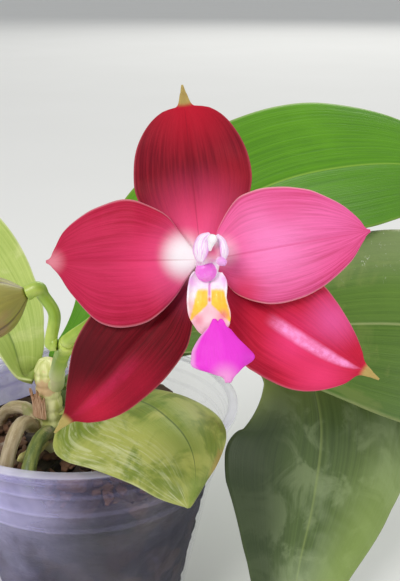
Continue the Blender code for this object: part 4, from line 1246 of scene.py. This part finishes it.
def tepal_grid(base, tip, level, lean, channel, curl, left, right, crease, wave, hooked):
    """The CAD sheet, drawn finer, with a crease, a rolled margin and a slow ripple."""
    start = np.array((*base, level), float)
    reach = unit(np.array((*tip, level)) - start)
    across = np.cross(reach, (0.0, 0.0, 1.0))
    length = left[-1][0]
    stations = length * (1 - (1 - np.linspace(0.0, 1.0, TEPAL_ROWS)) ** 1.35)
    lefts, rights = outline(left, stations), outline(right, stations)
    shares = np.linspace(-1.0, 1.0, TEPAL_COLS)
    shares = np.sin(shares * math.pi / 2) * 0.35 + shares * 0.65
    grid = np.zeros((TEPAL_ROWS, TEPAL_COLS, 3))
    for i, distance in enumerate(stations):
        t = distance / length
        half = np.maximum(np.where(shares > 0, rights[i], lefts[i]), 0.25)
        stand = lean * math.sin(math.pi * t**0.8)
        rise = channel * np.abs(shares) - curl * math.sin(math.pi * t) * shares**2
        fade = math.sin(math.pi * min(1.0, t * 1.04)) ** 0.5
        fold = -crease * np.exp(-((shares * half / 1.3) ** 2)) * fade
        roll = -0.55 * np.clip((np.abs(shares) - 0.82) / 0.18, 0, 1) ** 2 * fade
        slow = wave(t + 0.22 * np.sign(shares)) * np.abs(shares) ** 1.8 * fade
        out = stand + rise * half + fold + roll + slow
        if hooked:
            out = out + 1.5 * max(0.0, (t - hooked) / (1 - hooked)) ** 1.5
        grid[i] = start + reach * distance + across * (shares * half)[:, None]
        grid[i, :, 2] += out
    return grid, stations / length


print("tepals:", len(TEPALS))

# %% [markdown]
# The finish of a tepal is built up as a painter would: deep crimson with fine lengthwise
# veins, washes of pink that are partly a powdery bloom and partly painted sheen, darker
# washes of painted shade, a painted light streak along the crease of the lateral sepals,
# a pink wash round the column with a white painted highlight on its pale centre, a pale
# rolled rim, and the green-tan point. `spot` gives places in millimetres from the flower's
# middle, so each patch of colour sits in its place on the flower.

# %% Tepal finish
GLOW_PINK = (0.95, 0.14, 0.38)
# A painted highlight on the pale centre beside the column.
HIGHLIGHT_WHITE = (0.98, 0.95, 0.98)
POINT_TAN = (0.46, 0.38, 0.12)


def tepal_finish(name, deep, bright, rim, hooked, glow, washes, streak=None):
    """washes are (centre, reach, strength, colour) patches, painted in turn: partly the tepal's
    own tints, partly painted sheen and painted shade; streak is a painted light band along the
    tepal: (share across from, to, share along from, strength, colour)."""
    paint = Finish(name, roughness=0.5, Specular_IOR_Level=0.09)
    spot = paint.kept("spot")
    s, t, side = paint.lay()
    vein = paint.noise(paint.joined(s * 7.0, t * 0.8), 3.0, 5.0, 0.6, 0.3)
    fine = paint.noise(paint.joined(s * 30.0, t * 1.5), 2.2, 3.0)
    powder = paint.noise(spot, 0.35, 5.0, 0.7)
    grain = paint.noise(spot, 3.2, 2.0)
    colour = paint.layered(deep, (paint.step(vein, 0.32, 0.68), bright),
                           (0.30 * paint.step(fine, 0.48, 0.72), deep))  # fmt: skip
    # The washes: partly the tepal's own tints, partly painted sheen and painted shade.
    for centre, reach, strength, tint in washes:
        patch = paint.near(spot, centre, reach) * strength
        colour = paint.blend(patch * (0.72 + 0.35 * fine + 0.2 * powder), colour, tint)
    # The streak is a painted light band along the crease.
    if streak:
        start, end, out, strength, tint = streak
        middle, width = (start + end) / 2, abs(end - start) / 2
        lit_band = paint.step(abs(s - middle), width, 0.2 * width) * paint.step(t, out, out + 0.15)
        ending = paint.step(t, 0.93, 0.80)
        flecks = 0.35 + 0.5 * fine + 0.45 * paint.step(powder, 0.40, 0.62)
        colour = paint.blend(strength * lit_band * ending * flecks, colour, tint)
    # Round the column: a pink wash, and a white painted highlight on the pale centre.
    for centre, reach, strength, tint in glow:
        patch = paint.near(spot, centre, reach) * strength
        colour = paint.blend(patch, colour, tint)
    crease = paint.step(abs(s), 0.030, 0.0) * paint.step(t, 0.98, 0.80)
    edge = paint.step(abs(s), 0.93, 0.995)
    under = paint.step(side, 0.1, -0.4)
    colour = paint.layered(colour, (0.35 * crease, deep), (0.5 * edge, rim),
                           (0.45 * under, (0.50, 0.09, 0.13)))  # fmt: skip
    if hooked:
        point = paint.step(t, hooked - 0.005, hooked + 0.03)
        colour = paint.blend(0.9 * point, colour, POINT_TAN)
    paint.cover(colour, 0.40 + 0.20 * powder, fine + 0.8 * vein + 0.35 * grain, 0.30, 0.0004)
    return paint.material


def column_glow(left=1.0, right=1.0, pink=1.0):
    # A pink wash round the column, and patches of white painted highlight on its pale centre.
    return [
        ((-1.0, 0.5, -1.0), 15.5, 0.85 * pink, GLOW_PINK),
        ((-4.0, 2.2, -1.0), 7.8, left, HIGHLIGHT_WHITE),
        ((-4.9, 1.8, -1.0), 6.2, left, HIGHLIGHT_WHITE),
        ((4.0, 3.0, -1.0), 5.0, 0.5 * right, HIGHLIGHT_WHITE),
    ]


TEPAL_PAINTS = {
    "dorsal_sepal": dict(
        deep=(0.15, 0.005, 0.014), bright=(0.27, 0.011, 0.024), rim=(0.62, 0.10, 0.14),
        hooked=0.885, glow=column_glow(0.9, 0.6, 0.8),
        washes=[((-4.0, 36.0, -2.7), 15.0, 0.9, (0.52, 0.010, 0.030)),
                ((7.0, 20.0, -2.7), 9.0, 0.5, (0.40, 0.014, 0.030)),
                ((-1.0, 7.0, -2.7), 18.0, 1.0, (0.82, 0.065, 0.190))],
    ),
    "left_petal": dict(
        deep=(0.38, 0.010, 0.036), bright=(0.55, 0.022, 0.078), rim=(0.85, 0.40, 0.46),
        hooked=None, glow=column_glow(),
        # The pink washes are partly the petal's bloom and partly painted sheen.
        washes=[((-22.0, -1.0, 0.0), 16.0, 0.5, (0.60, 0.032, 0.115)),
                ((-12.0, 0.0, 0.0), 12.0, 0.7, (0.84, 0.055, 0.19)),
                ((-34.0, 0.8, 0.0), 4.0, 0.7, (0.85, 0.35, 0.42))],
    ),
    "right_petal": dict(
        # Lighter, pinker reds than the left petal, partly painted sheen; its pink washes are partly
        # bloom and partly painted sheen.
        deep=(0.56, 0.034, 0.125), bright=(0.84, 0.105, 0.320), rim=(0.88, 0.50, 0.46),
        hooked=None, glow=column_glow(0.8, 1.0),
        washes=[((15.0, 4.5, 0.0), 17.0, 0.85, (0.95, 0.26, 0.58)),
                ((29.0, 10.0, 0.0), 11.0, 0.4, (0.95, 0.22, 0.56)),
                ((17.0, 13.0, 0.0), 7.0, 0.5, (0.74, 0.08, 0.26)),
                ((7.5, -6.5, 0.0), 8.0, 0.95, (0.62, 0.020, 0.070))],
    ),
    "left_lateral_sepal": dict(
        deep=(0.10, 0.003, 0.007), bright=(0.21, 0.005, 0.015), rim=(0.66, 0.15, 0.17),
        hooked=0.905, glow=column_glow(0.5, 0.2, 0.35),
        # Its darker reds are partly painted shade. The streak is painted light on the lower half of
        # the fold, and the first wash is a painted shadow under the left petal.
        streak=(-0.40, -0.03, 0.45, 0.35, (0.66, 0.020, 0.11)),
        washes=[((-27.0, -20.0, -2.7), 14.0, 0.9, (0.085, 0.005, 0.009)),
                ((-15.0, -27.0, -2.7), 11.0, 0.7, (0.42, 0.010, 0.037)),
                ((-24.0, -33.0, -2.7), 10.0, 0.8, (0.56, 0.015, 0.050))],
    ),
    "right_lateral_sepal": dict(
        deep=(0.46, 0.010, 0.036), bright=(0.62, 0.020, 0.062), rim=(0.80, 0.22, 0.30),
        hooked=0.905, glow=column_glow(0.2, 0.3, 0.4),
        # The streak is a painted highlight along the crease, and the pink and lilac washes are
        # painted sheen.
        streak=(0.01, 0.25, 0.34, 0.9, (0.98, 0.34, 0.70)),
        washes=[((20.0, -17.0, -2.7), 9.0, 0.85, (0.84, 0.050, 0.20)),
                ((26.0, -25.0, -2.7), 10.0, 0.8, (0.84, 0.050, 0.18)),
                ((29.0, -12.0, -2.7), 9.0, 0.8, (0.76, 0.10, 0.33)),
                ((8.0, -8.0, -2.7), 9.0, 0.5, (0.50, 0.008, 0.035))],
    ),
}  # fmt: skip


def make_tepals():
    for seed, (name, shape) in enumerate(TEPALS.items()):
        look = TEPAL_PAINTS[name]
        petal = name.endswith("petal")
        wave = ripple(seed + 40, (1.4, 0.45), (3.1, 0.35), (6.7, 0.2 if petal else 0.08))
        grid, lengths = tepal_grid(
            **shape, crease=0.5 if petal else 0.9, wave=wave, hooked=look["hooked"]
        )
        mesh = leafy(f"{name}_sheet", grid, 0.8, from_flower, 0.45, lengths)
        slot = "dorsal_sepal" if name == "dorsal_sepal" else "crimson_tepal"
        piece(f"{name}_sheet", mesh, tepal_finish(f"{name}_skin", **look), slot, name)
    print("tepals made:", len(TEPALS))


make_tepals()

# %% [markdown]
# In the middle stands the column: a short, waxy body with two folded white wings, a lilac
# disc under them and the small white anther cap between them. The lip begins below it as
# a shallow dish with two yellow patches, and ends in the bright magenta middle lobe, which
# is shaped like a spade with a beak.

# %% Column
def ellipse_rings(stations, rows, sides=44):
    """Rings in the flower's frame from (middle X, middle Y, half X, half Y, Z)."""
    fine = smooth([(z, x, y, wide, tall) for x, y, wide, tall, z in stations], rows)
    turns = np.linspace(0.0, 2 * math.pi, sides, endpoint=False)
    rings = []
    for z, x, y, wide, tall in fine:
        spots = (x + wide * np.cos(turns), y + tall * np.sin(turns), np.full(sides, z))
        rings.append(np.column_stack(spots))
    return np.array(rings)


def waxy(name, pale, tint, patches=(), roughness=0.35, share=0.6):
    """Waxy white tissue with washes of a tint, and patches at places of the flower."""
    paint = Finish(name, roughness=roughness, Coat_Weight=0.2, Coat_Roughness=0.2,
                   Subsurface_Weight=0.15, Subsurface_Radius=(0.003, 0.0012, 0.002))  # fmt: skip
    spot = paint.kept("spot")
    wash = paint.noise(spot, 0.8, 3.0, 0.5, 0.3)
    colour = paint.blend(share * paint.step(wash, 0.42, 0.66), pale, tint)
    for centre, reach, strength, patch_colour in patches:
        colour = paint.blend(paint.near(spot, centre, reach) * strength, colour, patch_colour)
    paint.set("Base Color", colour)
    grain = paint.noise(spot, 4.0, 2.0)
    paint.set("Roughness", roughness - 0.05 + 0.15 * grain)
    paint.bump(wash + 0.3 * grain, 0.3, 0.0004)
    return paint.material


WHITE = (0.94, 0.84, 0.94)
LILAC = (0.84, 0.42, 0.82)
WINE = (0.80, 0.10, 0.26)


def fold_finish():
    """White tissue with lilac fold lines along it and a lilac margin."""
    paint = Finish("folded_white", roughness=0.35, Coat_Weight=0.1, Specular_IOR_Level=0.35)
    spot = paint.kept("spot")
    s, t, _ = paint.lay()
    lines = paint.noise(paint.joined(s * 3.2, t * 0.9), 2.4, 3.0, 0.6, 0.6)
    margin = paint.step(abs(s), 0.62, 0.98) * paint.step(t, 0.15, 0.5)
    colour = paint.layered(
        (0.96, 0.86, 0.96), (0.9 * paint.step(lines, 0.46, 0.60), (0.88, 0.48, 0.88)),
        (0.8 * margin, (0.84, 0.30, 0.80)))  # fmt: skip
    paint.cover(colour, 0.30 + 0.15 * lines, lines + 0.2 * paint.noise(spot, 4.0, 2.0), 0.4, 0.0004)
    return paint.material


COLUMN_ROWS = 34
HOLLOW_FROM = 22  # the row above which the column's front is hollow


def make_column():
    finish = waxy("waxy_column", WHITE, LILAC, [((1.6, 2.6, 7.0), 3.4, 0.95, WINE),
                  ((1.4, -0.2, 6.0), 2.0, 0.8, (0.88, 0.42, 0.62)),
                  ((0.4, -3.0, 2.0), 3.2, 0.6, (0.80, 0.28, 0.74))])  # fmt: skip
    stations = ((0.3, -1.6, 1.6, 3.2, -0.2), (0.4, -1.6, 2.2, 3.7, 0.8), (0.5, -0.9, 2.4, 3.2, 2.4),
                (0.6, 1.6, 2.9, 2.9, 4.6), (0.9, 3.0, 3.1, 3.2, 6.2), (1.0, 3.5, 2.7, 2.7, 7.0))
    rings = ellipse_rings(stations, COLUMN_ROWS)
    for ring in rings[HOLLOW_FROM:]:
        hollow = np.exp(-(((ring[:, 0] - 1.4) / 1.4) ** 2)) * (ring[:, 1] < 2.2)
        ring[:, 1] += 1.3 * hollow
    mesh = tubular("column_body", rings, from_flower)
    piece("column_body", mesh, finish, "column", "column")

    folds = fold_finish()
    wings = {
        "left_wing": ([(0.9, 6.6, 6.7), (-0.6, 5.2, 7.6), (-1.15, 2.9, 7.8), (-1.0, 0.5, 6.6)],
                      (-0.3, 0.1, 0.95), [0.4, 1.3, 1.7, 1.6, 0.7]),
        "right_wing": ([(2.6, 6.3, 6.8), (3.8, 4.8, 7.4), (4.25, 2.8, 7.4), (3.9, 0.9, 6.6)],
                       (0.45, 0.1, 0.9), [0.3, 0.7, 0.9, 0.95, 0.5]),
    }  # fmt: skip
    for name, (spine, face, halves) in wings.items():
        wave = ripple(len(name), (2.0, 0.25), (4.5, 0.15))
        grid = blade_grid(spine, [face, face], halves, halves, 46, 27, 0.0, 0.45, 0.25, wave)
        mesh = leafy(name, grid, 0.7, from_flower, 0.5)
        piece(name, mesh, folds, "column")

    disc = waxy("lilac_disc", (0.88, 0.17, 0.76), (0.90, 0.40, 0.84), [
        ((0.2, -1.0, 5.4), 1.4, 0.5, (0.84, 0.10, 0.66))], share=0.35)  # fmt: skip
    pads = {
        "column_disc": (disc, [(0.2, -1.4, 3.6), (0.2, -1.6, 4.6), (0.2, -1.75, 5.2)],
                        [2.35, 2.2, 1.5]),
        "white_lobe": (folds, [(2.8, 0.9, 6.2), (3.6, 0.5, 6.9), (4.4, 0.1, 7.0)],
                       [0.8, 1.0, 0.6]),
    }  # fmt: skip
    for name, (skin, route, radii) in pads.items():
        points, headings = run(route, 18)
        mesh = tubular(name, tube_rings(points, headings, spread(radii, 18), 36), from_flower)
        piece(name, mesh, skin, "column")

    cap = waxy("anther_white", (0.96, 0.92, 0.96), (0.92, 0.74, 0.90), share=0.3, roughness=0.25)
    route = [(1.0, 2.9, 7.6), (1.15, 3.9, 8.1), (1.5, 5.1, 8.5), (1.75, 5.9, 8.3)]
    points, headings = run(route, 30)

    def pinch(turns, share):
        return 1 - 0.08 * np.cos(2 * turns) * (1 - share)

    rings = tube_rings(points, headings, spread([0.35, 0.55, 0.8, 1.05, 0.85], 30), 40, pinch)
    piece("anther_cap_dome", tubular("anther_cap_dome", rings, from_flower), cap,
          "anther_cap", "anther_cap")  # fmt: skip
    print("column pieces: 6")


make_column()

# %% Lip
MIDLINE = 0.95  # where the lip's middle line lies on X, in the flower's frame


def lip_cup():
    """The lip's lower part: a shallow dish, closed above by two cushions with a slit between
    them, and below by a low three-sided swelling."""
    rows, cols = 96, 81
    outline_rows = ((-1.6, -2.3, 3.6, 1.9, 1.0), (-2.8, -3.2, 4.3, 2.3, 1.5),
                    (-4.5, -3.5, 4.6, 3.0, 2.0), (-7.4, -3.75, 4.45, 3.7, 2.1),
                    (-10.0, -3.55, 5.2, 4.4, 1.9), (-12.3, -2.8, 5.2, 4.5, 1.4),
                    (-14.0, -1.6, 4.3, 4.3, 0.8), (-15.0, -0.5, 3.0, 4.1, 0.4))  # fmt: skip
    s = np.linspace(-1.0, 1.0, cols)
    grid = np.zeros((rows, cols, 3))
    for i, (y, left, right, floor, rise) in enumerate(smooth(outline_rows, rows)):
        x = (left + right) / 2 + (right - left) / 2 * np.sin(1.25 * s) / math.sin(1.25)
        from_middle = np.abs(x - MIDLINE)
        cushion = 0.8 * np.exp(-(((from_middle - 1.55) / 1.1) ** 2) - ((y + 7.0) / 2.6) ** 2)
        slit = 0.55 * np.exp(-((from_middle / 0.28) ** 2)) / (1 + math.exp(-3 * (y + 8.0)))
        swell = 0.55 / (1 + np.exp(5.0 * (y + 8.3 + 0.95 * from_middle)))
        swell = swell / (1 + math.exp(-2.0 * (y + 13.5)))
        frill = 0.16 * np.sin(1.7 * y + 2 * np.sign(s)) * np.abs(s) ** 4
        grid[i] = np.column_stack([x, np.full(cols, y) + frill,
                                   floor + rise * np.abs(s) ** 2.6 + cushion - slit + swell])
    return grid


def lip_spade():
    rows, cols = 64, 45
    heights = [-12.3, -13.4, -15.5, -18.0, -19.9, -21.7, -22.9, -23.9, -24.9]
    lefts = [1.5, 0.7, -0.9, -2.5, -2.9, -2.7, 0.9, 3.6, 4.3]
    rights = [4.2, 5.0, 6.6, 9.1, 10.5, 8.2, 7.0, 5.9, 4.9]
    fine = smooth(list(zip(heights, lefts, rights)), rows)
    grid = np.zeros((rows, cols, 3))
    s = np.linspace(-1.0, 1.0, cols)
    for i, (height, left, right) in enumerate(fine):
        t = (heights[0] - height) / (heights[0] - heights[-1])
        middle = 2.6 + 2.9 * t
        grid[i, :, 0] = np.where(s < 0, middle + (middle - left) * s, middle + (right - middle) * s)
        frill = 0.25 * np.sin(7 * math.pi * t + np.sign(s)) * np.abs(s) ** 3
        keel = 0.5 * np.exp(-((s * 4.0) ** 2)) * math.sin(math.pi * min(1.0, t + 0.12))
        teeth = -0.45 * np.cos(2 * math.pi * s) * max(0.0, 1 - 7 * t)
        grid[i, :, 1] = height + teeth
        grid[i, :, 2] = 5.3 + 4.1 * t**0.8 - 1.7 * s**2 * math.sin(math.pi * t) + keel + frill
    return grid


def cup_finish():
    """The dish's paint: a white bib, two yellow patches, an orange dot between them, and a
    rosy white swelling below."""
    paint = Finish("lip_cup_paint", roughness=0.4, Coat_Weight=0.1, Specular_IOR_Level=0.3,
                   Subsurface_Weight=0.1, Subsurface_Radius=(0.002, 0.001, 0.001))  # fmt: skip
    spot = paint.kept("spot")
    x, y, _ = paint.parts(spot)
    wash = paint.noise(spot, 0.8, 3.0, 0.5, 0.3)
    ragged = 0.5 * (paint.noise(spot, 1.6, 3.0) - 0.5)
    from_middle = abs(x - MIDLINE)
    low = paint.step(y + ragged, -6.5, -9.5)
    swelling = paint.step(y + 0.95 * from_middle + ragged, -7.9, -8.6)
    patch = paint.step(y + ragged, -4.9, -6.0) * (1.0 - swelling)
    patch = patch * paint.step(from_middle, 0.2, 0.6)
    patch = patch * paint.step(abs(x - 1.15) + 0.25 * y + ragged, 1.75, 1.15)
    slit = paint.step(y, -7.2, -6.4) * paint.step(y, -3.4, -4.4)
    slit = paint.step(from_middle, 0.42, 0.10) * slit
    colour = paint.layered(
        (0.96, 0.88, 0.95), (0.5 * paint.step(wash, 0.45, 0.65), (0.90, 0.66, 0.90)),
        (low, (0.94, 0.52, 0.60)), (0.95 * patch, (0.95, 0.56, 0.015)),
        (0.6 * patch * paint.step(wash, 0.35, 0.7), (0.95, 0.68, 0.06)),
        (0.75 * slit, (0.78, 0.26, 0.66)))  # fmt: skip
    for centre, reach, strength, tint in (
        ((MIDLINE, -7.6, 4.0), 0.95, 0.95, (0.90, 0.24, 0.03)),
        ((0.9, -12.0, 5.0), 2.2, 0.5, (0.95, 0.78, 0.84)),
        ((-1.6, -11.9, 5.0), 1.9, 0.85, (0.82, 0.16, 0.24)),
        ((4.0, -11.0, 5.2), 2.0, 0.85, (0.82, 0.16, 0.24)),
        ((-3.2, -3.6, 4.5), 2.6, 0.75, (0.84, 0.36, 0.82)),
        ((4.4, -3.0, 4.5), 2.4, 0.7, (0.84, 0.36, 0.82)),
        ((-3.6, -9.6, 6.0), 1.4, 0.7, (0.95, 0.80, 0.82)),
    ):
        colour = paint.blend(paint.near(spot, centre, reach) * strength, colour, tint)
    paint.cover(colour, 0.34 + 0.14 * wash, wash + 0.3 * paint.noise(spot, 4.0, 2.0), 0.3, 0.0004)
    return paint.material


def make_lip():
    mesh = leafy("lip_cup", lip_cup(), 0.8, from_flower, 0.5)
    piece("lip_cup", mesh, cup_finish(), "lip", "lip")

    paint = Finish("magenta_spade", roughness=0.45, Specular_IOR_Level=0.12)
    spot = paint.kept("spot")
    s, t, side = paint.lay()
    vein = paint.noise(paint.joined(s * 6.0, t * 1.0), 3.0, 4.0)
    strip = paint.step(s, -0.80, -0.97) * paint.step(t, 0.75, 0.55)
    colour = paint.layered(
        (0.82, 0.006, 0.66), (vein, (0.96, 0.016, 0.86)),
        (0.85 * paint.near(spot, (4.2, -24.2, 9.0), 4.6), (0.95, 0.56, 0.78)),
        (0.8 * strip, (0.92, 0.62, 0.92)),
        (0.6 * paint.near(spot, (9.3, -19.9, 8.0), 3.6), (0.56, 0.006, 0.50)),
        (0.4 * paint.step(side, 0.1, -0.4), (0.70, 0.10, 0.50)))  # fmt: skip
    paint.cover(colour, 0.32 + 0.15 * vein, vein + 0.3 * paint.noise(spot, 3.5, 2.0), 0.35, 0.0004)
    spade = piece("lip_spade", leafy("lip_spade", lip_spade(), 0.9, from_flower, 0.5),
                  paint.material, "lip")  # fmt: skip

    print("lip pieces: 2, spade width:", round(spade.dimensions.x / MM, 1), "mm")


make_lip()
